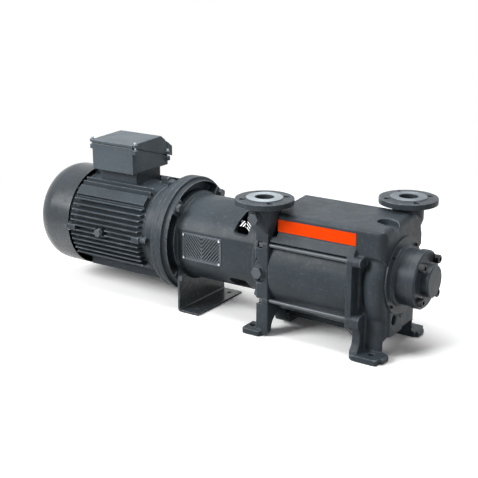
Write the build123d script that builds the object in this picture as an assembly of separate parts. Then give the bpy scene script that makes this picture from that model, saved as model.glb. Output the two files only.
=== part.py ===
# Single-stage liquid ring vacuum pump, driven by a flange motor through a bell housing.
# Sizes are in millimetres. The floor is z = 0 and the shaft runs along X, with the pump's free
# end at +X. The origin lies on the floor, in the middle of the pump's four foot holes.
import math
import os

from build123d import *

# Shaft line and working chamber
SHAFT_HEIGHT = 212.0
CHAMBER_DROP = 23.4
CHAMBER_LENGTH = 243.0
CHAMBER_R = 130.0
CHAMBER_WALL = 10.0
IMPELLER_GAP = 1.2
IMPELLER_SIDE_GAP = 0.5
BLADE_COUNT = 14
BLADE_THICKNESS = 5.0
BLADE_LEAN = 26.0
BLADE_BULGE = 9.0
HUB_R = 42.0
STIFFENER_R = 86.0
STIFFENER_THICKNESS = 6.0
PORT_PLATE_THICKNESS = 14.0

# End casings
PLATE_THICKNESS = 18.0
PLATE_HALF_WIDTH = 140.0
PLATE_TOP = 306.0
PLATE_SHOULDER = 32.0
NECK_BOX_CORNER_R = 8.0
NECK_SHELF = 302.0
FREE_NECK_SHELF = 262.0
DRIVE_CASING_DEPTH = 42.0
FREE_CASING_DEPTH = 98.5
CASING_HALF_WIDTH = 118.0
FREE_HALF_WIDTH = 100.0
BELLY_R = 199.0
BELLY_AXIS_Y = 77.0
BELLY_HEIGHT = 196.0
BELLY_BOTTOM = 95.0
BELLY_TOP = 292.0
BELLY_EDGE_R = 22.0
END_WALL = 12.0
PASSAGE_R = 84.0
PASSAGE_INNER_R = 58.0
CASING_WALL = 7.0
CASING_EDGE_R = 26.0
LEG_WIDTH = 24.0
DRIVE_LEG_INNER = 98.0
FREE_LEG_INNER = 92.0
ARCH_HEIGHT = 56.0
ARCH_CORNER_R = 40.0
FREE_ARCH_CORNER_R = 18.0
HEEL_R = 20.0
PLATE_CORNER_HEIGHT = 84.0
PLATE_BOTTOM = 46.0
PLATE_BOTTOM_HALF = 44.0
LEG_BITE_R = 48.0
LEG_BITE_DEPTH = 12.0
LEG_BITE_HEIGHT = 58.0
SUMP_HALF_WIDTH = 40.0
SUMP_BOTTOM = 12.0
SUMP_REACH = 12.0
HUMP_TOP = 362.0
DRIVE_FOOT_REACH = 60.5
FREE_FOOT_REACH = 73.5
FOOT_PITCH_Y = 234.0
FOOT_HOLE_R = 9.0
FOOT_THICKNESS = 17.0
FOOT_WIDTH = 62.0
FOOT_EDGE = 35.0
DRIVE_FOOT_LENGTH = 60.0
FREE_FOOT_LENGTH = 86.5
FREE_FOOT_CORNER_R = 18.0
INSTEP_R = 12.0
EAR_LENGTH = 10.0
EAR_WIDTH = 36.0
PLUG_R = 10.0
SIDE_PLUG_R = 8.0
PLUG_BOSS_R = 19.0
PLUG_BOSS_HEIGHT = 190.0
SIDE_BOSS = 5.0
GAUGE_PLUG_HEIGHT = 350.0
SERVICE_PORT_R = 14.0
SERVICE_PORT_DEPTH = 20.0
SERVICE_PORT_Y = -52.0
SERVICE_PORT_HEIGHT = 100.0
SERVICE_PAD = 6.0
SERVICE_PAD_SHIFT = 16.0
SERVICE_PAD_LENGTH = 84.0
SERVICE_PAD_HEIGHT = 76.0
SERVICE_PAD_CORNER_R = 10.0
SERVICE_PIN_R = 3.4
SERVICE_PIN_PITCH = 76.0

# Connection flanges, DN50 PN16
CONNECTION_TOP = 401.0
CONNECTION_R = 82.5
CONNECTION_THICKNESS = 20.0
CONNECTION_FACE_R = 51.0
CONNECTION_FACE_HEIGHT = 3.0
CONNECTION_BORE_R = 27.0
CONNECTION_PCD = 125.0
CONNECTION_HOLE_R = 9.0
CONNECTION_OFFSET_Y = 113.0
DRIVE_CONNECTION_REACH = 28.5
FREE_CONNECTION_REACH = 54.3
NECK_R = 44.0

# Transfer duct over the working chamber
DUCT_FRONT = -116.0
DUCT_FRONT_TOP = 360.0
DUCT_RIDGE_Y = 60.0
DUCT_RIDGE_TOP = 373.0
DUCT_FRONT_BOTTOM = 286.0
DUCT_CORNER_R = 22.0
DUCT_EDGE_R = 14.0
DUCT_END_EDGE_R = 16.0
DUCT_PASSAGE_END = 37.0
POCKET_LENGTH = 66.0
POCKET_WIDTH = 42.0
POCKET_DEPTH = 26.0
LABEL_LENGTH = 240.0
LABEL_HEIGHT = 34.0
LABEL_MIDDLE = 327.0
LABEL_THICKNESS = 1.0

# Tie rods
ROD_R = 6.0
ROD_Y = 130.0
ROD_SPREAD_Z = 81.5
ROD_LUG_R = 13.0
ROD_BOSS = 24.0

# Shafts, bearings and seals
PUMP_SHAFT_R = 25.0
IMPELLER_SEAT_R = 28.0
COUPLING_SHAFT_R = 19.0
MOTOR_SHAFT_R = 21.0
ROTOR_SHAFT_R = 27.5
BEARING_BORE_R = 22.5
BEARING_R = 50.0
BEARING_WIDTH = 25.0
RING_THICKNESS = 7.5
BALL_R = 8.7
BALL_COUNT = 8
CAGE_THICKNESS = 5.0
CAGE_WIDTH = 8.0
SEAL_BORE_R = 38.0
SEAL_SEAT_WIDTH = 8.0
SEAL_RING_R = 33.0
SEAL_RING_WIDTH = 32.0
SEAL_WALL = 22.0
DRIVE_CARRIER_LENGTH = 70.0
CARRIER_R = 68.0
CARRIER_SCREW_R = 59.0
CARRIER_COVER_THICKNESS = 10.0
SMALL_SCREW_R = 3.0
LOCKNUT_R = 32.0
LOCKNUT_WIDTH = 10.0

# Free end bearing housing and cover
HOUSING_FLANGE_R = 108.0
HOUSING_FLANGE_THICKNESS = 4.0
HOUSING_R = 78.0
HOUSING_LENGTH = 47.0
HOUSING_SHOULDER = 10.5
HOUSING_SCREW_R = 3.0
HOUSING_SCREW_CIRCLE_R = 98.0
COVER_R = 81.0
COVER_THICKNESS = 23.0
COVER_GROOVE = 1.2
CAP_R = 45.0
CAP_LENGTH = 25.0
CAP_WALL = 8.0
COVER_SCREW_R = 8.0
COVER_SCREW_PCD = 135.0
COVER_SCREW_LENGTH = 40.0

# Bell housing
BELL_LENGTH = 328.5
BELL_R = 126.0
BELL_BORE_R = 112.0
BELL_FLAT_Y = 117.0
BELL_FOOT_FLANGE_R = 135.0
BELL_FOOT_FLANGE = 14.0
BELL_FACE_THICKNESS = 40.0
BELL_RIM_THICKNESS = 20.0
BELL_FACE_R = 164.0
BELL_POCKET_R = 162.0
BELL_POCKET_WIDTH = 28.0
BELL_POCKET_SWEEP = 72.0
BELL_BOLT_R = 6.0
BELL_BOLT_CIRCLE_R = 143.0
BELL_LUG_R = 15.0
GUARD_LENGTH = 138.0
GUARD_HEIGHT = 82.0
GUARD_THICKNESS = 2.0
GUARD_SCREW_PITCH_X = 126.0
GUARD_SCREW_PITCH_Z = 70.0
GUARD_SCREW_R = 2.5
GUARD_START = 20.0
GUARD_HOLE = 8.0
GUARD_HOLE_PITCH = 14.0
WINDOW_START = 233.0
WINDOW_LENGTH = 50.0

# Jaw coupling
COUPLING_R = 47.5
COUPLING_HUB_LENGTH = 50.0
COUPLING_GAP = 26.0
JAW_COUNT = 3
JAW_SWEEP = 38.0
JAW_CORE_R = 22.0
JAW_END_GAP = 2.0
SPIDER_LEG_SWEEP = 20.0
KEY_WIDTH = 12.0
KEY_HEIGHT = 8.0

# Support bracket
BRACKET_CORNER_R = 12.0
BRACKET_HALF_WIDTH = 118.0
BRACKET_HEIGHT = 148.0
BRACKET_LENGTH = 73.0
BRACKET_THICKNESS = 6.0
BRACKET_HOLE_PITCH = 176.0
BRACKET_HOLE_R = 7.0
BRACKET_HOLE_REACH = 45.0

# Motor, IEC frame size 160 with FF300 flange
MOTOR_FLANGE_R = 175.0
MOTOR_FLANGE_THICKNESS = 15.0
MOTOR_FLANGE_PCD = 300.0
MOTOR_BOLT_R = 8.0
MOTOR_SPIGOT_R = 125.0
MOTOR_SPIGOT_HEIGHT = 5.0
MOTOR_SHAFT_LENGTH = 110.0
SHIELD_LENGTH = 71.5
SHIELD_R = 134.0
GUSSET_COUNT = 8
GUSSET_THICKNESS = 7.0
GUSSET_REACH = 24.0
FRAME_LENGTH = 281.0
STATOR_R = 130.0
FRAME_WALL = 9.0
FIN_TIP_R = 159.0
FIN_PITCH = 15.8
FIN_THICKNESS = 4.5
SIDE_FIN_ROWS = 12
TOP_FIN_PLACES = (72.0, 86.0)
FIN_END_GAP = 8.0
LOWER_FIN_COUNT = 9
PAD_WIDTH = 34.0
LUG_WIDTH = 20.0
LUG_LENGTH = 28.0
LUG_R = 162.0
LUG_BOLT_R = 5.0
LUG_BOLT_CIRCLE_R = 148.0
REAR_SHIELD_THICKNESS = 15.0
REAR_BOLT_R = 3.0
REAR_BOLT_CIRCLE_R = 134.5
REAR_HUB_LENGTH = 32.0
STATOR_BORE_R = 80.0
AIR_GAP = 0.6
STATOR_LENGTH = 165.0
WINDING_OVERHANG = 32.0
WINDING_R = 122.0
CAGE_RING_LENGTH = 18.0
CAGE_RING_BORE_R = 52.0
FAN_R = 122.0
FAN_HUB_R = 30.0
FAN_WIDTH = 38.0
FAN_BLADES = 8
FAN_SHEET = 3.0
COWL_R = 158.0
COWL_LENGTH = 149.0
COWL_EDGE_R = 70.0
COWL_SHEET = 2.5
COWL_OVERLAP = 2.5
COWL_SLOTS = 16
COWL_SLOT_WIDTH = 8.0
COWL_SCREW_R = 3.0
EARTH_BOSS_R = 13.0
EARTH_SCREW_R = 6.0
EARTH_BOSS_SHIFT = 15.0

# Terminal box
BOX_START = 221.0
BOX_LENGTH = 159.0
BOX_FRONT = -89.0
BOX_BACK = 84.0
BOX_BOTTOM = 389.0
BOX_FRONT_TOP = 470.0
LID_BACK = 105.0
LID_BACK_TOP = 445.0
LID_TOP = 481.0
LID_RISE = 5.0
LID_RIDGE_Y = 50.0
LID_PARTING_BACK = 412.0
BOX_WALL = 4.0
GASKET_THICKNESS = 2.0
PLINTH_LENGTH = 142.0
PLINTH_FRONT = -62.0
PLINTH_BACK = 55.0
LID_SCREW_R = 3.0
LID_LUG_R = 8.0
BOARD_THICKNESS = 12.0
STUD_R = 3.0
ENTRY_R = 8.0
ENTRY_HEIGHT = 19.0
ENTRY_PITCH = 50.0

# Clearances
SLIP_FIT = 0.05
RUNNING_FIT = 0.05
BOLT_CLEARANCE = 0.5
THREAD_CLEARANCE = 0.1
FACE_GAP = 0.2
CAST_GAP = 1.5

# Proportions of screws: each is a multiple of the thread's radius
HEX_ACROSS_FLATS = 3.0
HEX_HEAD = 1.3
NUT_HEIGHT = 1.6
CAP_HEAD_R = 1.5
CAP_HEAD = 2.0
SOCKET_ACROSS_FLATS = 1.75

# Stations along the shaft, worked out from the sizes above
FOOT_PITCH_X = DRIVE_FOOT_REACH + CHAMBER_LENGTH + FREE_FOOT_REACH
CHAMBER_START = DRIVE_FOOT_REACH - FOOT_PITCH_X / 2
CHAMBER_END = CHAMBER_START + CHAMBER_LENGTH
CHAMBER_HEIGHT = SHAFT_HEIGHT - CHAMBER_DROP
BELL_END = CHAMBER_START - DRIVE_CASING_DEPTH
MOTOR_FACE = BELL_END - BELL_LENGTH
BELL_FACE = MOTOR_FACE + BELL_FACE_THICKNESS
FREE_FACE = CHAMBER_END + FREE_CASING_DEPTH
DRIVE_CONNECTION_X = CHAMBER_START - DRIVE_CONNECTION_REACH
FREE_CONNECTION_X = CHAMBER_END + FREE_CONNECTION_REACH
CONNECTION_BOTTOM = CONNECTION_TOP - CONNECTION_THICKNESS
NECK_END = CONNECTION_BOTTOM - NECK_R
DRIVE_CARRIER_END = BELL_END - DRIVE_CARRIER_LENGTH
DRIVE_BEARING_X = DRIVE_CARRIER_END + 4.0
FREE_BEARING_X = FREE_FACE + HOUSING_SHOULDER + 1.0
HOUSING_END = FREE_FACE + HOUSING_LENGTH
PUMP_SHAFT_START = MOTOR_FACE + MOTOR_SHAFT_LENGTH + COUPLING_GAP
FLANGE_BACK = MOTOR_FACE - MOTOR_FLANGE_THICKNESS
FRAME_END = MOTOR_FACE - SHIELD_LENGTH
FRAME_START = FRAME_END - FRAME_LENGTH
FRAME_R = STATOR_R + FRAME_WALL
STATOR_MIDDLE = (FRAME_START + FRAME_END) / 2
COWL_START = FRAME_START - COWL_OVERLAP
COWL_END = COWL_START - COWL_LENGTH
ROD_POSITIONS = [(side * ROD_Y, CHAMBER_HEIGHT + level * ROD_SPREAD_Z)
                 for side in (-1, 1) for level in (-1, 1)]


def facing_x(x, y=0.0, z=0.0):
    """Plane across the shaft: its own axes point along Y and Z."""
    return Plane(origin=(x, y, z), x_dir=(0, 1, 0), z_dir=(1, 0, 0))


def slab(sketch, x0, x1, y=0.0, z=0.0):
    """A YZ outline given depth from x0 to x1."""
    return extrude(facing_x(x0, y, z) * sketch, amount=x1 - x0, dir=(1, 0, 0))


def along_shaft(sketch, x0, x1):
    """A YZ outline about the shaft's axis given depth from x0 to x1."""
    return slab(sketch, x0, x1, 0.0, SHAFT_HEIGHT)


def rod(radius, x0, x1, y=0.0, z=SHAFT_HEIGHT):
    """Round bar along X."""
    return slab(Circle(radius), x0, x1, y, z)


def ring(outer, inner, x0, x1, z=SHAFT_HEIGHT):
    """Round tube along X."""
    return slab(Circle(outer) - Circle(inner), x0, x1, 0.0, z)


def block(x0, x1, y0, y1, z0, z1):
    """Rectangular block between two corners."""
    middle = Pos((x0 + x1) / 2, (y0 + y1) / 2, (z0 + z1) / 2)
    return middle * Box(abs(x1 - x0), abs(y1 - y0), abs(z1 - z0))


def post(radius, z0, z1, x, y):
    """Round bar standing on Z."""
    return Pos(x, y, (z0 + z1) / 2) * Cylinder(radius, z1 - z0)


def crossbar(radius, y0, y1, x, z):
    """Round bar along Y."""
    return Pos(x, (y0 + y1) / 2, z) * Rot(90, 0, 0) * Cylinder(radius, abs(y1 - y0))


def side_plate(sketch, y0, y1):
    """An XZ outline given depth from y0 to y1."""
    face = Plane(origin=(0, y0, 0), x_dir=(1, 0, 0), z_dir=(0, -1, 0)) * sketch
    return extrude(face, amount=y1 - y0, dir=(0, 1, 0))


def polygon(*points):
    """Closed outline through the points."""
    return make_face(Polyline(*points, close=True))


def turned(*points):
    """Body of revolution about the shaft from (x, radius) points."""
    face = Plane(origin=(0, 0, SHAFT_HEIGHT), x_dir=(1, 0, 0), z_dir=(0, -1, 0)) * polygon(*points)
    return revolve(face, axis=Axis((0, 0, SHAFT_HEIGHT), (1, 0, 0)))


def ring_sector(outer, inner, middle, sweep):
    """Part of a flat ring, centred on one angle."""
    far = CenterArc((0, 0), outer, middle - sweep / 2, sweep)
    near = CenterArc((0, 0), inner, middle - sweep / 2, sweep)
    return make_face([far, Line(far @ 1, near @ 1), near, Line(near @ 0, far @ 0)])


def both_sides(solid):
    """A piece of the casting on the near side and its mirror image on the far side."""
    return solid + mirror(solid, about=Plane.XZ)


def polar_points(radius, count, start=45.0):
    """Places around the shaft, as (y, z) on the object."""
    angles = [math.radians(start + 360.0 * i / count) for i in range(count)]
    return [(radius * math.cos(a), SHAFT_HEIGHT + radius * math.sin(a)) for a in angles]


def hexagon(radius):
    """Outline of a hexagon head for a thread of this radius."""
    return RegularPolygon(HEX_ACROSS_FLATS * radius / 2, 6, major_radius=False)


def hex_screw(radius, length, x, y, z, side):
    """Hexagon screw along X. Its head rests on the plane x and stands out towards side."""
    head = slab(hexagon(radius), x, x + side * HEX_HEAD * radius, y, z)
    shank = rod(radius, x - side * length, x, y, z) if side > 0 else rod(radius, x, x + length, y, z)
    return head + shank


def hex_nut(radius, x, y, z, side):
    """Hexagon nut on the plane x, standing out towards side."""
    outline = hexagon(radius) - Circle(radius + THREAD_CLEARANCE)
    return slab(outline, x, x + side * NUT_HEIGHT * radius, y, z)


def cap_screw(radius, length, x, y, z, side=1):
    """Socket head cap screw along X with its head towards side."""
    head = slab(Circle(CAP_HEAD_R * radius), x, x + side * CAP_HEAD * radius, y, z)
    top = x + side * CAP_HEAD * radius
    socket = slab(RegularPolygon(SOCKET_ACROSS_FLATS * radius / 2, 6, major_radius=False),
                  top - side * radius, top, y, z)
    shank = slab(Circle(radius), x - side * length, x, y, z)
    return head - socket + shank


def cross_screw(radius, length, x, y, z, side):
    """Hexagon screw along Y with its head towards side."""
    turn = Rot(90, 0, 0) if side < 0 else Rot(-90, 0, 0)
    head = extrude(hexagon(radius), amount=HEX_HEAD * radius)
    shank = Pos(0, 0, -length / 2) * Cylinder(radius, length)
    return Pos(x, y, z) * turn * (head + shank)


def arch(half_width, height, corner_r):
    """Outline of the free space under a casing, between its legs."""
    deep = 2 * corner_r
    return Pos(0, (height - deep) / 2) * RectangleRounded(2 * half_width, height + deep, corner_r - 1.0)


def plate_outline():
    """Joint plate that clamps the chamber: shoulders, rod lugs and two legs."""
    half = PLATE_HALF_WIDTH
    body = polygon((-half, 0), (half, 0), (half, PLATE_TOP - PLATE_SHOULDER),
                   (CASING_HALF_WIDTH, PLATE_TOP), (-CASING_HALF_WIDTH, PLATE_TOP),
                   (-half, PLATE_TOP - PLATE_SHOULDER))
    body = fillet(body.vertices().filter_by(lambda v: v.Y > ARCH_HEIGHT), 9.0)
    for y, z in ROD_POSITIONS:
        body += Pos(y, z) * Circle(ROD_LUG_R)
    return body - arch(half - LEG_WIDTH, ARCH_HEIGHT, ARCH_CORNER_R)


def free_plate_outline():
    """Joint plate of the free end: the same head, cut off slanting under the lower rods."""
    half = PLATE_HALF_WIDTH
    low = polygon((-half - ROD_LUG_R, -1.0), (-half - ROD_LUG_R, PLATE_CORNER_HEIGHT),
                  (1.0 - half, PLATE_CORNER_HEIGHT), (PLATE_BOTTOM_HALF - half, PLATE_BOTTOM),
                  (half - PLATE_BOTTOM_HALF, PLATE_BOTTOM), (half - 1.0, PLATE_CORNER_HEIGHT),
                  (half + ROD_LUG_R, PLATE_CORNER_HEIGHT), (half + ROD_LUG_R, -1.0))
    inside = polygon((-half, PLATE_BOTTOM - 4.0), (-half, PLATE_TOP / 2), (half, PLATE_TOP / 2),
                     (half, PLATE_BOTTOM - 4.0))
    return plate_outline() + inside - low


def leg_rib():
    """Outer rib of a free end leg: a round boss for the tie rod on top, narrowed above the foot."""
    y = -PLATE_HALF_WIDTH - LEG_BITE_R + LEG_BITE_DEPTH
    boss_y, boss_z = -ROD_Y, CHAMBER_HEIGHT - ROD_SPREAD_Z
    body = polygon((boss_y - ROD_LUG_R, 0), (boss_y - ROD_LUG_R, boss_z), (10.0 - FREE_HALF_WIDTH, boss_z),
                   (10.0 - FREE_HALF_WIDTH, 0))
    return body + Pos(boss_y, boss_z) * Circle(ROD_LUG_R) - Pos(y, LEG_BITE_HEIGHT) * Circle(LEG_BITE_R)


def casing_outline(half, top, leg_inner, arch_corner_r):
    """Cross-section of a casing behind its joint plate."""
    body = polygon((-half, 0), (half, 0), (half, top), (-half, top))
    body = fillet(body.vertices().filter_by(lambda v: v.Y > ARCH_HEIGHT), CASING_EDGE_R)
    return body - arch(leg_inner, ARCH_HEIGHT, arch_corner_r)


def foot(x0, x1, hole_x, corner_r=8.0):
    """Foot pad on the near side with its fixing hole. corner_r rounds its corner at x0."""
    outer = -FOOT_PITCH_Y / 2 - FOOT_EDGE
    outline = Pos((x0 + x1) / 2, outer + FOOT_WIDTH / 2) * Rectangle(x1 - x0, FOOT_WIDTH)
    outline = fillet(outline.vertices().sort_by_distance((x0, outer))[0], corner_r)
    outline = fillet(outline.vertices().sort_by_distance((x1, outer))[0], 8.0)
    pad = extrude(outline, amount=FOOT_THICKNESS)
    return pad - post(FOOT_HOLE_R, -1.0, FOOT_THICKNESS + 1.0, hole_x, -FOOT_PITCH_Y / 2)


def connection(x, y):
    """DN50 flange with its raised face and the straight part of its neck."""
    face = CONNECTION_TOP - CONNECTION_FACE_HEIGHT
    solid = post(CONNECTION_R, CONNECTION_BOTTOM, face, x, y)
    solid += post(CONNECTION_FACE_R, face, CONNECTION_TOP, x, y)
    solid += post(NECK_R, NECK_END, CONNECTION_BOTTOM, x, y)
    solid = solid - post(CONNECTION_BORE_R, NECK_END - 1.0, CONNECTION_TOP + 1.0, x, y)
    for i in range(4):
        angle = math.radians(45 + 90 * i)
        hole_x = x + CONNECTION_PCD / 2 * math.cos(angle)
        hole_y = y + CONNECTION_PCD / 2 * math.sin(angle)
        solid -= post(CONNECTION_HOLE_R, CONNECTION_BOTTOM - 1.0, face + 1.0, hole_x, hole_y)
    return solid


def neck_transition(x, y, x_span, y_span, bottom, radius):
    """Loft from the round neck down to a box-shaped passage."""
    (x0, x1), (y0, y1) = x_span, y_span
    top = Plane.XY.offset(NECK_END) * Pos(x, y) * Circle(radius)
    middle = Pos((x0 + x1) / 2, (y0 + y1) / 2)
    low = Plane.XY.offset(bottom) * middle * RectangleRounded(x1 - x0, y1 - y0, NECK_BOX_CORNER_R)
    return loft([low, top])


def neck_passage(x, y, x_span, y_span, bottom):
    """Hollow of a neck, from its flange's mouth down to the box-shaped passage."""
    return neck_transition(x, y, x_span, y_span, bottom, CONNECTION_BORE_R) + post(
        CONNECTION_BORE_R, NECK_END, CONNECTION_TOP + 1.0, x, y)


def rod_holes(x0, x1):
    """Clearance holes for the tie rods."""
    return [rod(ROD_R + BOLT_CLEARANCE, x0, x1, y, z) for y, z in ROD_POSITIONS]


def port_openings(x0, x1):
    """Kidney-shaped passages between an end casing and the chamber."""
    suction = along_shaft(ring_sector(96.0, 60.0, 150.0, 70.0), x0, x1)
    discharge = along_shaft(ring_sector(80.0, 62.0, 30.0, 50.0), x0, x1)
    return [suction, discharge]


def drive_end_casing():
    """Casting at the motor side: joint plate, flow chamber, bearing carrier, neck and feet."""
    back = BELL_END
    plate_back = CHAMBER_START - PLATE_THICKNESS
    hole_x = -FOOT_PITCH_X / 2
    solid = slab(plate_outline(), plate_back, CHAMBER_START)
    outline = casing_outline(CASING_HALF_WIDTH, PLATE_TOP + 9.0, DRIVE_LEG_INNER, ARCH_CORNER_R)
    solid += slab(outline, back, plate_back)
    solid += drive_end_hump() + drive_end_sump()
    solid += rod(CARRIER_R, DRIVE_CARRIER_END, back)
    solid += rod(BELL_BORE_R - SLIP_FIT, back - BELL_FOOT_FLANGE / 2, back)
    leg = block(back + 4.0, plate_back, -PLATE_HALF_WIDTH, -CASING_HALF_WIDTH, 0, CHAMBER_HEIGHT - 30.0)
    leg += foot(hole_x - 19.0, hole_x - 19.0 + DRIVE_FOOT_LENGTH, hole_x) + instep(back + 4.0)
    boss = crossbar(PLUG_BOSS_R, -CONNECTION_OFFSET_Y, -PLATE_HALF_WIDTH - SIDE_BOSS, DRIVE_CONNECTION_X,
                    PLUG_BOSS_HEIGHT)
    boss += side_plate(polygon((DRIVE_CONNECTION_X - PLUG_BOSS_R, PLUG_BOSS_HEIGHT + 8.0),
                               (plate_back, PLATE_TOP - PLATE_SHOULDER),
                               (plate_back, PLUG_BOSS_HEIGHT + 8.0)), -PLATE_HALF_WIDTH, -CASING_HALF_WIDTH)
    solid += both_sides(leg + boss)
    shelf = NECK_SHELF
    span = (-PLATE_HALF_WIDTH + 0.5, -PLATE_HALF_WIDTH + 56.0)
    solid += block(back, CHAMBER_START, *span, SHAFT_HEIGHT + 18.0, shelf)
    neck_at = (DRIVE_CONNECTION_X, -CONNECTION_OFFSET_Y)
    solid += neck_transition(*neck_at, (back, CHAMBER_START), span, shelf, NECK_R)
    solid += connection(*neck_at) + gauge_boss()
    clear = BELL_FOOT_FLANGE + 22.0
    solid -= ring(BELL_FOOT_FLANGE_R + CAST_GAP, BELL_BORE_R, back - clear, back)
    for y, z in polar_points(BELL_BOLT_CIRCLE_R, 4):
        solid -= slab(Circle(BELL_LUG_R + CAST_GAP), back - clear, back, y, z)
    hollow_x = (back + CASING_WALL, CHAMBER_START - CASING_WALL)
    inner = (span[0] + CASING_WALL, span[1] - CASING_WALL)
    solid -= neck_passage(*neck_at, hollow_x, inner, shelf - CASING_WALL)
    solid -= block(*hollow_x, *inner, SHAFT_HEIGHT, shelf - CASING_WALL)
    solid -= along_shaft(ring_sector(104.0, 58.0, 130.0, 150.0), *hollow_x)
    for cut in port_openings(CHAMBER_START - CASING_WALL - 1.0, CHAMBER_START + 1.0):
        solid -= cut
    solid -= rod(PUMP_SHAFT_R + 2.0, DRIVE_CARRIER_END - 1.0, CHAMBER_START + 1.0)
    solid -= rod(SEAL_BORE_R, DRIVE_CARRIER_END - 1.0, CHAMBER_START - SEAL_WALL)
    solid -= rod(BEARING_R + SLIP_FIT, DRIVE_CARRIER_END - 1.0, DRIVE_BEARING_X + BEARING_WIDTH)
    for hole in rod_holes(plate_back - 1.0, CHAMBER_START + 1.0):
        solid -= hole
    for y, z in ROD_POSITIONS:
        solid -= slab(Circle(ROD_LUG_R), back - 1.0, plate_back, y, z)
    for y, z in polar_points(BELL_BOLT_CIRCLE_R, 4):
        solid -= rod(BELL_BOLT_R + THREAD_CLEARANCE, back - 1.0, back + 20.0, y, z)
    carrier = DRIVE_CARRIER_END
    for y, z in polar_points(CARRIER_SCREW_R, 4):
        solid -= rod(SMALL_SCREW_R + THREAD_CLEARANCE, carrier - 1.0, carrier + 16.0, y, z)
    plug_hole_r = SIDE_PLUG_R + THREAD_CLEARANCE
    solid -= both_sides(crossbar(plug_hole_r, -PLATE_HALF_WIDTH - 10.0, -PLATE_HALF_WIDTH + 9.0,
                                 DRIVE_CONNECTION_X, PLUG_BOSS_HEIGHT))
    solid -= both_sides(heel(-PLATE_HALF_WIDTH - 1.0, 1.0 - PLATE_HALF_WIDTH + LEG_WIDTH))
    gauge_y = -CONNECTION_OFFSET_Y - NECK_R
    solid -= crossbar(PLUG_R + THREAD_CLEARANCE, gauge_y - 6.0, gauge_y + 10.0, DRIVE_CONNECTION_X,
                      GAUGE_PLUG_HEIGHT)
    return solid


def drive_end_hump():
    """Top of the drive end casing, where the transfer duct comes in behind the neck."""
    shape = polygon((-40.0, PLATE_TOP - 20.0), (-40.0, HUMP_TOP - 10.0), (DUCT_RIDGE_Y, HUMP_TOP),
                    (DUCT_RIDGE_Y + 38.0, HUMP_TOP - 28.0), (CASING_HALF_WIDTH - 4.0, PLATE_TOP - 20.0))
    shape = fillet(shape.vertices().filter_by(lambda v: v.Y > PLATE_TOP), DUCT_EDGE_R)
    hump = slab(shape, BELL_END + 3.0, CHAMBER_START)
    top = HUMP_TOP + 10.0
    slope = side_plate(polygon((BELL_END, PLATE_TOP + 6.0), (BELL_END, top), (CHAMBER_START - 8.0, top)),
                       -PLATE_HALF_WIDTH, PLATE_HALF_WIDTH)
    return hump - slope


def drive_end_sump():
    """Drain sump in the middle, under the casing and a little way under the chamber."""
    half, under = SUMP_HALF_WIDTH, CHAMBER_HEIGHT - CHAMBER_R - CHAMBER_WALL - CAST_GAP
    wide = polygon((-half - 8.0, ARCH_HEIGHT + 6.0), (-half, SUMP_BOTTOM + 8.0), (8.0 - half, SUMP_BOTTOM),
                   (half - 8.0, SUMP_BOTTOM), (half, SUMP_BOTTOM + 8.0), (half + 8.0, ARCH_HEIGHT + 6.0))
    sump = slab(wide, BELL_END + 6.0, CHAMBER_START + SUMP_REACH)
    return sump - block(CHAMBER_START, CHAMBER_END, -2 * half, 2 * half, under - 3.0, SHAFT_HEIGHT)


def instep(x):
    """Concave fillet between the near leg and its foot."""
    y0, y1 = -PLATE_HALF_WIDTH, LEG_WIDTH - PLATE_HALF_WIDTH
    r = INSTEP_R
    corner = block(x - r, x + 1.0, y0, y1, FOOT_THICKNESS - 1.0, FOOT_THICKNESS + r)
    return corner - crossbar(r, y0 - 1.0, y1 + 1.0, x - r, FOOT_THICKNESS + r)


def heel(y0, y1):
    """What the rounded heel of the near leg leaves out under the joint plate."""
    x, r = CHAMBER_START, HEEL_R
    return block(x - r, x + 1.0, y0, y1, -1.0, r) - crossbar(r, y0 - 1.0, y1 + 1.0, x - r, r)


def gauge_boss():
    """Flat boss on the neck for the gauge plug."""
    front = -CONNECTION_OFFSET_Y - NECK_R - 4.0
    return crossbar(PLUG_R * 1.6, front, front + 12.0, DRIVE_CONNECTION_X, GAUGE_PLUG_HEIGHT)


def casing_plugs():
    """Hexagon plugs: gauge plug under the flange, one on each side of the drive end casing."""
    gauge_y = -CONNECTION_OFFSET_Y - NECK_R - 4.0
    side_y = PLATE_HALF_WIDTH + SIDE_BOSS
    return [cross_screw(PLUG_R, 12.0, DRIVE_CONNECTION_X, gauge_y, GAUGE_PLUG_HEIGHT, -1),
            cross_screw(SIDE_PLUG_R, 12.0, DRIVE_CONNECTION_X, -side_y, PLUG_BOSS_HEIGHT, -1),
            cross_screw(SIDE_PLUG_R, 12.0, DRIVE_CONNECTION_X, side_y, PLUG_BOSS_HEIGHT, 1)]


def central_body():
    """Eccentric working chamber: a cylinder with a sump along its underside."""
    outer = CHAMBER_R + CHAMBER_WALL
    solid = rod(outer, CHAMBER_START, CHAMBER_END, 0.0, CHAMBER_HEIGHT)
    low = CHAMBER_HEIGHT - outer
    sump = polygon((-42.0, low + 40.0), (-26.0, low - 18.0), (26.0, low - 18.0), (42.0, low + 40.0))
    solid += slab(sump, CHAMBER_START + 14.0, CHAMBER_END - 14.0)
    return solid - rod(CHAMBER_R, CHAMBER_START - 1.0, CHAMBER_END + 1.0, 0.0, CHAMBER_HEIGHT)


def port_plate(x):
    """Disc at the end of the chamber with the kidney-shaped ports."""
    solid = rod(CHAMBER_R - SLIP_FIT, x, x + PORT_PLATE_THICKNESS, 0.0, CHAMBER_HEIGHT)
    solid -= rod(PUMP_SHAFT_R + 2.0, x - 1.0, x + PORT_PLATE_THICKNESS + 1.0)
    for cut in port_openings(x - 1.0, x + PORT_PLATE_THICKNESS + 1.0):
        solid -= cut
    return solid


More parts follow.
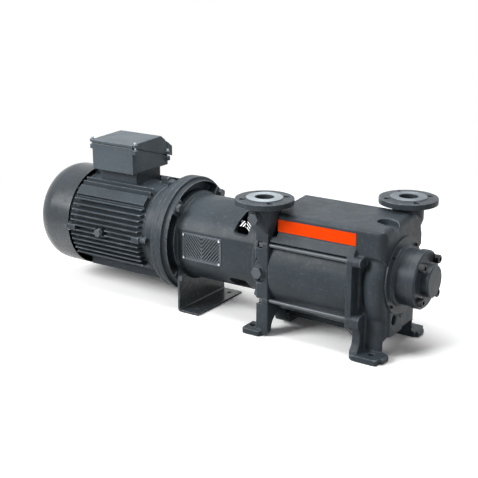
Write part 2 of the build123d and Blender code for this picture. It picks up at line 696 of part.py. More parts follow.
def duct_outline(flared):
    """Cross-section of the transfer duct. Above the chamber it flares out over the near tie rod."""
    front, ridge = DUCT_FRONT, DUCT_RIDGE_Y
    rod_top = CHAMBER_HEIGHT + ROD_SPREAD_Z + ROD_R + CAST_GAP
    foot_points = [(front, DUCT_FRONT_BOTTOM)]
    if flared:
        foot_points = [(front + 2.0, rod_top - 4.0), (front - 18.0, rod_top + 4.0), (front, PLATE_TOP)]
    body = polygon((front + 20.0, 260.0), *foot_points, (front, DUCT_FRONT_TOP), (ridge, DUCT_RIDGE_TOP),
                   (ridge + 40.0, DUCT_RIDGE_TOP - 26.0), (-front, 300.0), (-front, 270.0),
                   (-front - 20.0, 260.0))
    top = body.vertices().filter_by(lambda v: v.Y > DUCT_RIDGE_TOP - 30.0)
    body = fillet(top, DUCT_EDGE_R)
    if flared:
        body -= Pos(0, CHAMBER_HEIGHT) * Circle(CHAMBER_R + CHAMBER_WALL + CAST_GAP)
    return body


def duct_passage():
    """Cross-section of the hollow inside the duct."""
    front, ridge, wall = DUCT_FRONT + CASING_WALL, DUCT_RIDGE_Y, CASING_WALL
    body = polygon((front, PLATE_TOP), (front, DUCT_FRONT_TOP - wall), (ridge, DUCT_RIDGE_TOP - wall),
                   (ridge, CHAMBER_HEIGHT), (front, CHAMBER_HEIGHT))
    return body - Pos(0, CHAMBER_HEIGHT) * Circle(CHAMBER_R + CHAMBER_WALL + CAST_GAP + wall)


def transfer_duct():
    """Duct over the chamber and the bowl, rounded at its free end in plan and along its top."""
    end = FREE_FACE
    solid = slab(duct_outline(True), CHAMBER_START + FACE_GAP, CHAMBER_END + 1.0)
    solid += slab(duct_outline(False), CHAMBER_END, end)
    low, high = SHAFT_HEIGHT, CONNECTION_TOP
    corner_y = DUCT_FRONT + DUCT_CORNER_R
    trim = block(end - DUCT_CORNER_R, end + 1.0, -PLATE_HALF_WIDTH - 10.0, corner_y, low, high)
    trim -= post(DUCT_CORNER_R, low - 1.0, high + 1.0, end - DUCT_CORNER_R, corner_y)
    notch = post(NECK_R + CAST_GAP, NECK_SHELF - 8.0, high, DRIVE_CONNECTION_X, -CONNECTION_OFFSET_Y)
    return solid - trim - notch - duct_end_edge(end)


def duct_end_edge(end):
    """What the rounded edge between the duct's top and its free end leaves out."""
    r, reach = DUCT_END_EDGE_R, 2 * PLATE_HALF_WIDTH
    slope = math.degrees(math.atan2(DUCT_RIDGE_TOP - DUCT_FRONT_TOP, DUCT_RIDGE_Y - DUCT_FRONT))
    tool = block(end - r, end + 1.0, -r, reach, -r, CONNECTION_R)
    tool -= crossbar(r, -2 * r, reach + r, end - r, -r)
    return Pos(0, DUCT_FRONT, DUCT_FRONT_TOP) * Rot(slope, 0, 0) * tool


def duct_pocket():
    """Open pocket in the duct's top, in front of the free end neck."""
    outline = SlotOverall(POCKET_LENGTH, POCKET_WIDTH)
    place = Pos(FREE_CONNECTION_X + 14.0, -POCKET_WIDTH + 4.0, DUCT_RIDGE_TOP - POCKET_DEPTH) * Rot(0, 0, -22)
    return place * extrude(outline, amount=POCKET_DEPTH + 20.0)


def end_corner(end):
    """What the rounded upright corner beside the end wall leaves out."""
    r, y, top = BELLY_EDGE_R, BELLY_EDGE_R - FREE_HALF_WIDTH, PLATE_TOP
    corner = block(end - r, end + 1.0, -FREE_HALF_WIDTH - 1.0, y, -1.0, top)
    return corner - post(r, -2.0, top + 1.0, end - r, y)


def bowl_belly():
    """Barrel-shaped swelling on the near side of the bowl, rounded towards the end wall."""
    root = BELLY_AXIS_Y + FREE_HALF_WIDTH - 5.0
    start, end, top = CHAMBER_END + PLATE_THICKNESS - 1.0, FREE_FACE, BELLY_R
    valley = ThreePointArc((start, root + 12.0), (start + 11.0, root + 7.0), (start + 22.0, root + 13.0))
    swell = ThreePointArc((start + 22.0, root + 13.0), (start + 38.0, top - 2.0), (end - BELLY_EDGE_R, top))
    turn = ThreePointArc((end - BELLY_EDGE_R, top), (end - 0.29 * BELLY_EDGE_R, top - 0.29 * BELLY_EDGE_R),
                         (end, top - BELLY_EDGE_R))
    back = Polyline((end, top - BELLY_EDGE_R), (end, root - 20.0), (start, root - 20.0), (start, root + 12.0))
    face = Plane(origin=(0, BELLY_AXIS_Y, BELLY_HEIGHT), x_dir=(1, 0, 0), z_dir=(0, 0, 1)) * make_face(
        [valley, swell, turn, back])
    barrel = revolve(face, axis=Axis((0, BELLY_AXIS_Y, BELLY_HEIGHT), (1, 0, 0)))
    near = block(start, end, BELLY_AXIS_Y - top - 1.0, 10.0 - FREE_HALF_WIDTH, BELLY_BOTTOM, BELLY_TOP)
    return barrel & near


def service_pad(x0, x1):
    """Raised pad around the service port, cut round for the bearing housing."""
    place = Pos(SERVICE_PORT_Y + SERVICE_PAD_SHIFT, ARCH_HEIGHT - 1.0 + SERVICE_PAD_HEIGHT / 2)
    pad = place * RectangleRounded(SERVICE_PAD_LENGTH, SERVICE_PAD_HEIGHT, SERVICE_PAD_CORNER_R)
    return slab(pad, x0, x1) - rod(HOUSING_FLANGE_R + CAST_GAP, x0, x1 + 1.0)


def service_port(end):
    """Threaded port with its two pin holes in the end wall."""
    holes = rod(SERVICE_PORT_R, end + SERVICE_PAD - SERVICE_PORT_DEPTH, end + SERVICE_PAD + 1.0,
                SERVICE_PORT_Y, SERVICE_PORT_HEIGHT)
    for side in (-1, 1):
        holes += rod(SERVICE_PIN_R, end - SERVICE_PAD, end + SERVICE_PAD + 1.0,
                     SERVICE_PORT_Y + side * SERVICE_PIN_PITCH / 2, SERVICE_PORT_HEIGHT)
    return holes


def free_end_feet(hole_x):
    """Feet of the free end with their ears, on both sides."""
    near_end = CHAMBER_END + PLATE_THICKNESS
    ear_x = near_end + FREE_FOOT_LENGTH
    ear_y = -FOOT_PITCH_Y / 2 + 4.0
    pads = foot(near_end, ear_x, hole_x, FREE_FOOT_CORNER_R)
    half = EAR_WIDTH / 2
    pads += block(ear_x - 9.0, ear_x + EAR_LENGTH, ear_y - half, ear_y + half, 0, FOOT_THICKNESS)
    return both_sides(pads)


def free_end_casing():
    """Casting at the free end: joint plate, bellied bowl, transfer duct, neck and feet."""
    start, end = CHAMBER_END, FREE_FACE
    plate_end = start + PLATE_THICKNESS
    neck_at = (FREE_CONNECTION_X, CONNECTION_OFFSET_Y)
    solid = slab(free_plate_outline(), start, plate_end)
    for y, z in ROD_POSITIONS:
        solid += rod(ROD_LUG_R, plate_end, plate_end + ROD_BOSS, y, z)
        side = 1 if y > 0 else -1
        web_y = sorted((side * (FREE_HALF_WIDTH - 10.0), y))
        solid += block(plate_end, plate_end + ROD_BOSS, *web_y, z - ROD_LUG_R, z + ROD_LUG_R)
    outline = casing_outline(FREE_HALF_WIDTH, PLATE_TOP - 12.0, FREE_LEG_INNER, FREE_ARCH_CORNER_R)
    solid += slab(outline, plate_end, end)
    solid -= both_sides(end_corner(end))
    solid += both_sides(slab(leg_rib(), plate_end, plate_end + ROD_BOSS))
    solid += service_pad(end, end + SERVICE_PAD)
    solid += both_sides(bowl_belly())
    solid += free_end_feet(FOOT_PITCH_X / 2)
    solid += transfer_duct()
    x_span = (plate_end + 4.0, end - 20.0)
    y_span = (34.0, CASING_HALF_WIDTH + 12.0)
    shelf = FREE_NECK_SHELF
    solid += neck_transition(*neck_at, x_span, y_span, shelf, NECK_R)
    solid += connection(*neck_at)
    inner = (y_span[0] + CASING_WALL, FREE_HALF_WIDTH - CASING_WALL)
    solid -= neck_passage(*neck_at, (plate_end + 8.0, end - 24.0), inner, shelf - 6.5)
    solid -= slab(duct_passage(), CHAMBER_START + CASING_WALL, start + DUCT_PASSAGE_END)
    solid -= block(start + CASING_WALL + 10.0, start + DUCT_PASSAGE_END, -60.0, 20.0, SHAFT_HEIGHT + 60.0,
                   PLATE_TOP + 40.0)
    solid -= duct_pocket()
    passage = ring_sector(PASSAGE_R, PASSAGE_INNER_R, 50.0, 150.0)
    solid -= along_shaft(passage, start + CASING_WALL, end - END_WALL)
    for cut in port_openings(start - 1.0, start + CASING_WALL + 1.0):
        solid -= cut
    solid -= rod(PUMP_SHAFT_R + 2.0, start - 1.0, end + 1.0)
    solid -= rod(SEAL_BORE_R, start + SEAL_WALL, end + 1.0)
    for hole in rod_holes(start - 1.0, plate_end):
        solid -= hole
    for y, z in polar_points(HOUSING_SCREW_CIRCLE_R, 4):
        solid -= rod(HOUSING_SCREW_R + THREAD_CLEARANCE, end - 18.0, end + 1.0, y, z)
    return solid - service_port(end)


def tie_rods():
    """Four rods that clamp the chamber between the joint plates, screwed into the free end's bosses."""
    x0 = CHAMBER_START - PLATE_THICKNESS - NUT_HEIGHT * ROD_R - 3.0
    x1 = CHAMBER_END + PLATE_THICKNESS - 1.0
    return [rod(ROD_R, x0, x1, y, z) for y, z in ROD_POSITIONS]


def tie_rod_nuts():
    """Nuts at the drive end of each tie rod."""
    return [hex_nut(ROD_R, CHAMBER_START - PLATE_THICKNESS, y, z, -1) for y, z in ROD_POSITIONS]


def bare_plate():
    """Thin coloured plate on the duct's front face, without any marking."""
    middle = CHAMBER_START + 18.0 + LABEL_LENGTH / 2
    return block(middle - LABEL_LENGTH / 2, middle + LABEL_LENGTH / 2,
                 DUCT_FRONT - LABEL_THICKNESS, DUCT_FRONT,
                 LABEL_MIDDLE - LABEL_HEIGHT / 2, LABEL_MIDDLE + LABEL_HEIGHT / 2)


def bearing_housing():
    """Free end housing: flange, neck and the outer ring's seat."""
    start = FREE_FACE
    solid = turned((start, SEAL_BORE_R), (start, HOUSING_FLANGE_R),
                   (start + HOUSING_FLANGE_THICKNESS, HOUSING_FLANGE_R),
                   (start + HOUSING_FLANGE_THICKNESS, HOUSING_R + 8.0),
                   (start + HOUSING_FLANGE_THICKNESS + 4.0, HOUSING_R + 6.0),
                   (start + HOUSING_FLANGE_THICKNESS + 8.0, HOUSING_R), (HOUSING_END, HOUSING_R),
                   (HOUSING_END, BEARING_R + SLIP_FIT), (FREE_BEARING_X - 0.5, BEARING_R + SLIP_FIT),
                   (FREE_BEARING_X - 0.5, SEAL_BORE_R))
    for y, z in polar_points(HOUSING_SCREW_CIRCLE_R, 4):
        solid -= rod(HOUSING_SCREW_R + BOLT_CLEARANCE, start - 1.0, start + 10.0, y, z)
    hole = COVER_SCREW_R + THREAD_CLEARANCE
    for y, z in polar_points(COVER_SCREW_PCD / 2, 4):
        solid -= rod(hole, HOUSING_END + COVER_THICKNESS - COVER_SCREW_LENGTH - 2.0, HOUSING_END + 1.0, y, z)
    return solid


def bearing_cover():
    """Cover with a closed cap over the shaft's end and a spigot that holds the bearing."""
    start, rim = HOUSING_END, HOUSING_END + COVER_THICKNESS
    end, spigot = rim + CAP_LENGTH, FREE_BEARING_X + BEARING_WIDTH
    spigot_r, groove_r, groove_end = BEARING_R - SLIP_FIT, HOUSING_R - 3.0, start + COVER_GROOVE
    hollow = CAP_R - CAP_WALL - 3.0
    solid = turned((spigot, hollow), (spigot, spigot_r), (start, spigot_r), (start, groove_r),
                   (groove_end, groove_r), (groove_end, COVER_R), (rim - 4.0, COVER_R), (rim, COVER_R - 4.0),
                   (rim, CAP_R), (end - 3.0, CAP_R), (end, CAP_R - 3.0), (end, 0), (end - CAP_WALL, 0),
                   (end - CAP_WALL, hollow))
    for y, z in polar_points(COVER_SCREW_PCD / 2, 4):
        solid -= rod(COVER_SCREW_R + BOLT_CLEARANCE, start - 1.0, rim + 1.0, y, z)
    return solid


def cover_screws():
    """Four large cap screws of the bearing cover."""
    x = HOUSING_END + COVER_THICKNESS
    points = polar_points(COVER_SCREW_PCD / 2, 4)
    return [cap_screw(COVER_SCREW_R, COVER_SCREW_LENGTH, x, y, z) for y, z in points]


def housing_screws():
    """Four small cap screws in the housing's flange."""
    x = FREE_FACE + HOUSING_FLANGE_THICKNESS
    points = polar_points(HOUSING_SCREW_CIRCLE_R, 4)
    return [cap_screw(HOUSING_SCREW_R, 22.0, x, y, z) for y, z in points]


def drive_bearing_cover():
    """Ring that closes the drive end bearing carrier."""
    start = DRIVE_CARRIER_END - CARRIER_COVER_THICKNESS
    solid = ring(CARRIER_R, COUPLING_SHAFT_R + 5.0, start, DRIVE_CARRIER_END)
    solid += ring(BEARING_R - SLIP_FIT, BEARING_R - RING_THICKNESS + 1.0, DRIVE_CARRIER_END, DRIVE_BEARING_X)
    for y, z in polar_points(CARRIER_SCREW_R, 4):
        solid -= rod(SMALL_SCREW_R + BOLT_CLEARANCE, start - 1.0, DRIVE_CARRIER_END + 1.0, y, z)
    return solid


def drive_cover_screws():
    """Screws of the drive end bearing cover."""
    x = DRIVE_CARRIER_END - CARRIER_COVER_THICKNESS
    points = polar_points(CARRIER_SCREW_R, 4)
    return [cap_screw(SMALL_SCREW_R, 24.0, x, y, z, -1) for y, z in points]


def seal_seats():
    """Stationary seal rings, one in each casing wall."""
    inner = PUMP_SHAFT_R + 2.0
    drive = CHAMBER_START - SEAL_WALL
    free = CHAMBER_END + SEAL_WALL
    return [ring(SEAL_BORE_R - SLIP_FIT, inner, drive - SEAL_SEAT_WIDTH, drive),
            ring(SEAL_BORE_R - SLIP_FIT, inner, free, free + SEAL_SEAT_WIDTH)]


def seal_rings():
    """Rotating seal rings on the pump shaft."""
    inner = PUMP_SHAFT_R + SLIP_FIT
    drive = CHAMBER_START - SEAL_WALL - SEAL_SEAT_WIDTH - FACE_GAP
    free = CHAMBER_END + SEAL_WALL + SEAL_SEAT_WIDTH + FACE_GAP
    return [ring(SEAL_RING_R, inner, drive - SEAL_RING_WIDTH, drive),
            ring(SEAL_RING_R, inner, free, free + SEAL_RING_WIDTH)]


def race(x, inner, outer):
    """One ring of a ball bearing with its groove."""
    pitch = (BEARING_BORE_R + BEARING_R) / 2
    profile = Pos(x + BEARING_WIDTH / 2, (inner + outer) / 2) * Rectangle(BEARING_WIDTH, outer - inner)
    profile -= Pos(x + BEARING_WIDTH / 2, pitch) * Circle(BALL_R + RUNNING_FIT)
    face = Plane(origin=(0, 0, SHAFT_HEIGHT), x_dir=(1, 0, 0), z_dir=(0, -1, 0)) * profile
    return revolve(face, axis=Axis((0, 0, SHAFT_HEIGHT), (1, 0, 0)))


def outer_ring(x):
    return race(x, BEARING_R - RING_THICKNESS, BEARING_R)


def inner_ring(x):
    return race(x, BEARING_BORE_R + SLIP_FIT / 2, BEARING_BORE_R + RING_THICKNESS)


def ball_set(x):
    """Balls of one bearing, held by their cage."""
    middle = x + BEARING_WIDTH / 2
    pitch = (BEARING_BORE_R + BEARING_R) / 2
    half = CAGE_THICKNESS / 2
    solid = ring(pitch + half, pitch - half, middle - CAGE_WIDTH / 2, middle + CAGE_WIDTH / 2)
    for y, z in polar_points(pitch, BALL_COUNT, 0.0):
        solid += Pos(middle, y, z) * Sphere(BALL_R)
    return solid


def motor_bearing_stations():
    """Starts of the motor's two bearings, in the hubs of its end shields."""
    return [FRAME_END - 6.0, FRAME_START - REAR_SHIELD_THICKNESS + 2.0]


def pump_shaft():
    """Stepped pump shaft from the coupling to the lock nut."""
    drive_seat = DRIVE_BEARING_X + BEARING_WIDTH
    nut_end = FREE_BEARING_X + BEARING_WIDTH + LOCKNUT_WIDTH + 4.0
    seat_start = CHAMBER_START + PORT_PLATE_THICKNESS + IMPELLER_SIDE_GAP
    seat_end = CHAMBER_END - PORT_PLATE_THICKNESS - IMPELLER_SIDE_GAP
    solid = turned((PUMP_SHAFT_START, 0), (PUMP_SHAFT_START, COUPLING_SHAFT_R - 2.0),
                   (PUMP_SHAFT_START + 2.0, COUPLING_SHAFT_R),
                   (DRIVE_BEARING_X - 14.0, COUPLING_SHAFT_R), (DRIVE_BEARING_X - 14.0, BEARING_BORE_R),
                   (drive_seat, BEARING_BORE_R), (drive_seat, PUMP_SHAFT_R), (seat_start, PUMP_SHAFT_R),
                   (seat_start, IMPELLER_SEAT_R - SLIP_FIT), (seat_end, IMPELLER_SEAT_R - SLIP_FIT),
                   (seat_end, PUMP_SHAFT_R), (FREE_BEARING_X, PUMP_SHAFT_R), (FREE_BEARING_X, BEARING_BORE_R),
                   (nut_end, BEARING_BORE_R), (nut_end, 0))
    solid -= key_space(PUMP_SHAFT_START + 6.0, COUPLING_SHAFT_R)
    return solid - key_space(-COUPLING_HUB_LENGTH / 2 + 3.0, IMPELLER_SEAT_R)


def key_space(x, radius):
    """Room of a parallel key on top of a shaft of this radius."""
    length = COUPLING_HUB_LENGTH - 12.0
    return block(x, x + length, -KEY_WIDTH / 2, KEY_WIDTH / 2,
                 SHAFT_HEIGHT + radius - KEY_HEIGHT / 2, SHAFT_HEIGHT + radius + KEY_HEIGHT / 2)


def key(x, radius):
    """Parallel key, with a slip fit all round."""
    length = COUPLING_HUB_LENGTH - 12.0
    return block(x + SLIP_FIT, x + length - SLIP_FIT, -KEY_WIDTH / 2 + SLIP_FIT, KEY_WIDTH / 2 - SLIP_FIT,
                 SHAFT_HEIGHT + radius - KEY_HEIGHT / 2, SHAFT_HEIGHT + radius + KEY_HEIGHT / 2 - SLIP_FIT)


def pump_keys():
    return [key(PUMP_SHAFT_START + 6.0, COUPLING_SHAFT_R),
            key(-COUPLING_HUB_LENGTH / 2 + 3.0, IMPELLER_SEAT_R)]


def impeller_blade(angle):
    """Outline of one blade: two arcs that lean forward in the direction of rotation."""
    tip = CHAMBER_R - CHAMBER_DROP - IMPELLER_GAP
    root = HUB_R - 3.0
    half = BLADE_THICKNESS / 2

    def at(radius, turn, shift):
        a = math.radians(turn)
        return (radius * math.cos(a) - shift * math.sin(a), radius * math.sin(a) + shift * math.cos(a))

    middle = (root + tip) / 2
    bend = BLADE_LEAN / 2 - BLADE_BULGE
    first = ThreePointArc(at(root, 0, -half), at(middle, bend, -half), at(tip, BLADE_LEAN, -half))
    second = ThreePointArc(at(root, 0, half), at(middle, bend, half), at(tip, BLADE_LEAN, half))
    outline = make_face([first, Line(first @ 1, second @ 1), second, Line(second @ 0, first @ 0)])
    return Rot(0, 0, angle) * outline


def impeller():
    """Vaned impeller: hub, curved blades and a stiffening disc, all one casting."""
    x0 = CHAMBER_START + PORT_PLATE_THICKNESS + IMPELLER_SIDE_GAP
    x1 = CHAMBER_END - PORT_PLATE_THICKNESS - IMPELLER_SIDE_GAP
    outline = Circle(HUB_R)
    for i in range(BLADE_COUNT):
        outline += impeller_blade(360.0 * i / BLADE_COUNT)
    tip = Circle(CHAMBER_R - CHAMBER_DROP - IMPELLER_GAP)
    solid = along_shaft(outline & tip, x0, x1)
    middle = (x0 + x1) / 2
    solid += rod(STIFFENER_R, middle - STIFFENER_THICKNESS / 2, middle + STIFFENER_THICKNESS / 2)
    solid -= rod(IMPELLER_SEAT_R, x0 - 1.0, x1 + 1.0)
    return solid - key_space(-COUPLING_HUB_LENGTH / 2 + 3.0, IMPELLER_SEAT_R)


def locknut():
    """Slotted nut that clamps the free end bearing's inner ring."""
    x0 = FREE_BEARING_X + BEARING_WIDTH
    outline = Circle(LOCKNUT_R) - Circle(BEARING_BORE_R + THREAD_CLEARANCE)
    for i in range(4):
        outline -= Rot(0, 0, 90.0 * i) * Pos(LOCKNUT_R, 0) * Rectangle(6.0, 6.0)
    return along_shaft(outline, x0, x0 + LOCKNUT_WIDTH)


def coupling_hub(x0, side, bore, start_angle):
    """Coupling half whose jaws stand out towards side."""
    x1 = x0 + COUPLING_HUB_LENGTH
    face = x1 if side > 0 else x0
    solid = ring(COUPLING_R, bore + SLIP_FIT, x0, x1)
    reach = COUPLING_GAP - JAW_END_GAP
    for i in range(JAW_COUNT):
        jaw = ring_sector(COUPLING_R, JAW_CORE_R, start_angle + 360.0 * i / JAW_COUNT, JAW_SWEEP)
        solid += along_shaft(jaw, face, face + side * reach)
    return solid


def pump_coupling_hub():
    solid = coupling_hub(PUMP_SHAFT_START, -1, COUPLING_SHAFT_R, 30.0 + 180.0 / JAW_COUNT)
    return solid - key_space(PUMP_SHAFT_START + 6.0, COUPLING_SHAFT_R)


def motor_coupling_hub():
    shaft_end = MOTOR_FACE + MOTOR_SHAFT_LENGTH
    solid = coupling_hub(shaft_end - COUPLING_HUB_LENGTH, 1, MOTOR_SHAFT_R, 30.0)
    return solid - key_space(shaft_end - COUPLING_HUB_LENGTH + 6.0, MOTOR_SHAFT_R)


def coupling_spider():
    """Elastic star between the jaws."""
    x0 = PUMP_SHAFT_START - COUPLING_GAP + JAW_END_GAP
    outline = Circle(JAW_CORE_R - 1.0)
    for i in range(2 * JAW_COUNT):
        angle = 30.0 + 90.0 / JAW_COUNT + 180.0 * i / JAW_COUNT
        outline += ring_sector(COUPLING_R - 1.0, JAW_CORE_R - 2.0, angle, SPIDER_LEG_SWEEP)
    return along_shaft(outline, x0, PUMP_SHAFT_START - FACE_GAP)


def bell_window():
    """Rounded triangular opening above, in the XZ plane."""
    x0 = MOTOR_FACE + WINDOW_START
    x1 = x0 + WINDOW_LENGTH
    body = polygon((x0, SHAFT_HEIGHT + 64.0), (x1, SHAFT_HEIGHT + 62.0),
                   (x1 - 4.0, SHAFT_HEIGHT + 118.0), (x0 + 10.0, SHAFT_HEIGHT + 118.0))
    return fillet(body.vertices(), 9.0)


def guard_middle():
    """Middle of a guard along the shaft."""
    return BELL_FACE + GUARD_START + GUARD_LENGTH / 2


def bell_housing():
    """Bell housing between motor flange and pump: dished face, flat-sided tube and windows."""
    solid = turned((MOTOR_FACE, BELL_BORE_R), (MOTOR_FACE, MOTOR_FLANGE_R),
                   (MOTOR_FACE + BELL_RIM_THICKNESS, MOTOR_FLANGE_R),
                   (MOTOR_FACE + BELL_RIM_THICKNESS, BELL_FACE_R), (BELL_FACE - 4.0, BELL_FACE_R),
                   (BELL_FACE, BELL_FACE_R - 4.0), (BELL_FACE, BELL_R + 6.0), (BELL_FACE + 6.0, BELL_R),
                   (BELL_END - BELL_FOOT_FLANGE, BELL_R), (BELL_END - BELL_FOOT_FLANGE, BELL_FOOT_FLANGE_R),
                   (BELL_END, BELL_FOOT_FLANGE_R), (BELL_END, BELL_BORE_R))
    trim = block(BELL_FACE, BELL_END - BELL_FOOT_FLANGE, -BELL_R - 20.0, -BELL_FLAT_Y, 0, 2 * SHAFT_HEIGHT)
    solid -= both_sides(trim)
    solid -= rod(MOTOR_SPIGOT_R + SLIP_FIT, MOTOR_FACE - 1.0, MOTOR_FACE + MOTOR_SPIGOT_HEIGHT + 0.5)
    for y, z in polar_points(BELL_BOLT_CIRCLE_R, 4):
        solid += slab(Circle(BELL_LUG_R), BELL_END - BELL_FOOT_FLANGE, BELL_END, y, z)
        solid -= rod(BELL_BOLT_R + BOLT_CLEARANCE, BELL_END - BELL_FOOT_FLANGE - 1.0, BELL_END + 1.0, y, z)
    for y, z in polar_points(MOTOR_FLANGE_PCD / 2, 4):
        solid -= rod(MOTOR_BOLT_R + BOLT_CLEARANCE, MOTOR_FACE - 1.0, BELL_FACE + 1.0, y, z)
    for i in range(4):
        pocket = ring_sector(BELL_POCKET_R, BELL_POCKET_R - BELL_POCKET_WIDTH, 90.0 * i, BELL_POCKET_SWEEP)
        solid -= along_shaft(pocket, MOTOR_FACE + 8.0, BELL_FACE + 1.0)
    solid = solid - both_sides(bell_openings())
    for y in (-BELL_FLAT_Y, BELL_FLAT_Y):
        for x, z in guard_screw_points():
            solid -= crossbar(GUARD_SCREW_R + THREAD_CLEARANCE, y - 8.0, y + 8.0, x, z)
    return solid


def bell_openings():
    """Openings of the near side: coupling access, upper and lower windows."""
    access = Pos(guard_middle(), SHAFT_HEIGHT) * RectangleRounded(GUARD_SCREW_PITCH_X - 12.0,
                                                                  GUARD_SCREW_PITCH_Z - 12.0, 6.0)
    cut = side_plate(access, -BELL_R - 1.0, -60.0)
    cut += side_plate(bell_window(), -BELL_R - 1.0, -30.0)
    x0 = MOTOR_FACE + WINDOW_START - 20.0
    lower = Pos(x0 + 30.0, SHAFT_HEIGHT - 92.0) * RectangleRounded(60.0, 36.0, 8.0)
    return cut + side_plate(lower, -BELL_R - 1.0, -30.0)


def guard_screw_points():
    """Corner screws of a guard, as (x, z)."""
    middle = guard_middle()
    return [(middle + i * GUARD_SCREW_PITCH_X / 2, SHAFT_HEIGHT + j * GUARD_SCREW_PITCH_Z / 2)
            for i in (-1, 1) for j in (-1, 1)]


def coupling_guard(side):
    """Perforated sheet over the coupling opening, with rows of diamond holes."""
    outline = RectangleRounded(GUARD_LENGTH, GUARD_HEIGHT, 3.0)
    columns = int((GUARD_SCREW_PITCH_X - GUARD_HOLE_PITCH) / GUARD_HOLE_PITCH)
    rows = int((GUARD_SCREW_PITCH_Z - GUARD_HOLE_PITCH) / GUARD_HOLE_PITCH)
    with_holes = outline
    for place in GridLocations(GUARD_HOLE_PITCH, GUARD_HOLE_PITCH, columns, rows):
        with_holes -= place * Rot(0, 0, 45) * Rectangle(GUARD_HOLE, GUARD_HOLE)
    for i in (-1, 1):
        for j in (-1, 1):
            place = Pos(i * GUARD_SCREW_PITCH_X / 2, j * GUARD_SCREW_PITCH_Z / 2)
            with_holes -= place * Circle(GUARD_SCREW_R + BOLT_CLEARANCE)
    seat = side * BELL_FLAT_Y
    outer = seat + side * GUARD_THICKNESS
    return side_plate(Pos(guard_middle(), SHAFT_HEIGHT) * with_holes, min(seat, outer), max(seat, outer))


def guard_screws():
    """Screws of both guards."""
    seat = BELL_FLAT_Y + GUARD_THICKNESS
    return [cross_screw(GUARD_SCREW_R, 7.0, x, side * seat, z, side)
            for side in (-1, 1) for x, z in guard_screw_points()]


def bell_bolts():
    """Bolts between bell housing and drive end casing."""
    x = BELL_END - BELL_FOOT_FLANGE
    points = polar_points(BELL_BOLT_CIRCLE_R, 4)
    return [hex_screw(BELL_BOLT_R, BELL_FOOT_FLANGE + 18.0, x, y, z, -1) for y, z in points]


def seat_of_flange_bolt(z):
    """The two lower bolts also clamp the support bracket."""
    return BELL_FACE + (BRACKET_THICKNESS if z < SHAFT_HEIGHT else 0.0)


def flange_bolts():
    """Bolts through bell housing and motor flange."""
    bolts = []
    for y, z in polar_points(MOTOR_FLANGE_PCD / 2, 4):
        seat = seat_of_flange_bolt(z)
        length = seat - FLANGE_BACK + NUT_HEIGHT * MOTOR_BOLT_R + 3.0
        bolts.append(hex_screw(MOTOR_BOLT_R, length, seat, y, z, 1))
    return bolts


def flange_nuts():
    return [hex_nut(MOTOR_BOLT_R, FLANGE_BACK, y, z, -1) for y, z in polar_points(MOTOR_FLANGE_PCD / 2, 4)]


def support_bracket():
    """Bent sheet support under the bell housing."""
    x0, t = BELL_FACE, BRACKET_THICKNESS
    profile = polygon((x0, 0), (x0 + BRACKET_LENGTH, 0), (x0 + BRACKET_LENGTH, t), (x0 + t, t),
                      (x0 + t, BRACKET_HEIGHT), (x0, BRACKET_HEIGHT))
    inner = profile.vertices().sort_by_distance((x0 + t, t))[0]
    profile = fillet(inner, 4.0)
    outer = profile.vertices().sort_by_distance((x0, 0))[0]
    profile = fillet(outer, 10.0)
    solid = side_plate(profile, -BRACKET_HALF_WIDTH, BRACKET_HALF_WIDTH)
    shape = RectangleRounded(2 * BRACKET_HALF_WIDTH, BRACKET_HEIGHT + 40.0, BRACKET_CORNER_R)
    shape = Pos(0, BRACKET_HEIGHT / 2 - 20.0) * shape
    solid = solid & slab(shape, x0 - 1.0, x0 + BRACKET_LENGTH + 1.0)
    solid -= rod(BELL_R + 8.0, x0 - 1.0, x0 + t + 1.0)
    for y, z in polar_points(MOTOR_FLANGE_PCD / 2, 4):
        if z < SHAFT_HEIGHT:
            solid -= rod(MOTOR_BOLT_R + BOLT_CLEARANCE, x0 - 1.0, x0 + t + 1.0, y, z)
    for side in (-1, 1):
        solid -= post(BRACKET_HOLE_R, -1.0, t + 1.0, x0 + BRACKET_HOLE_REACH, side * BRACKET_HOLE_PITCH / 2)
    return solid


def lug_points(radius):
    """Places of the four frame lugs around the shaft, at the sides, top and bottom."""
    return polar_points(radius, 4, 0.0)


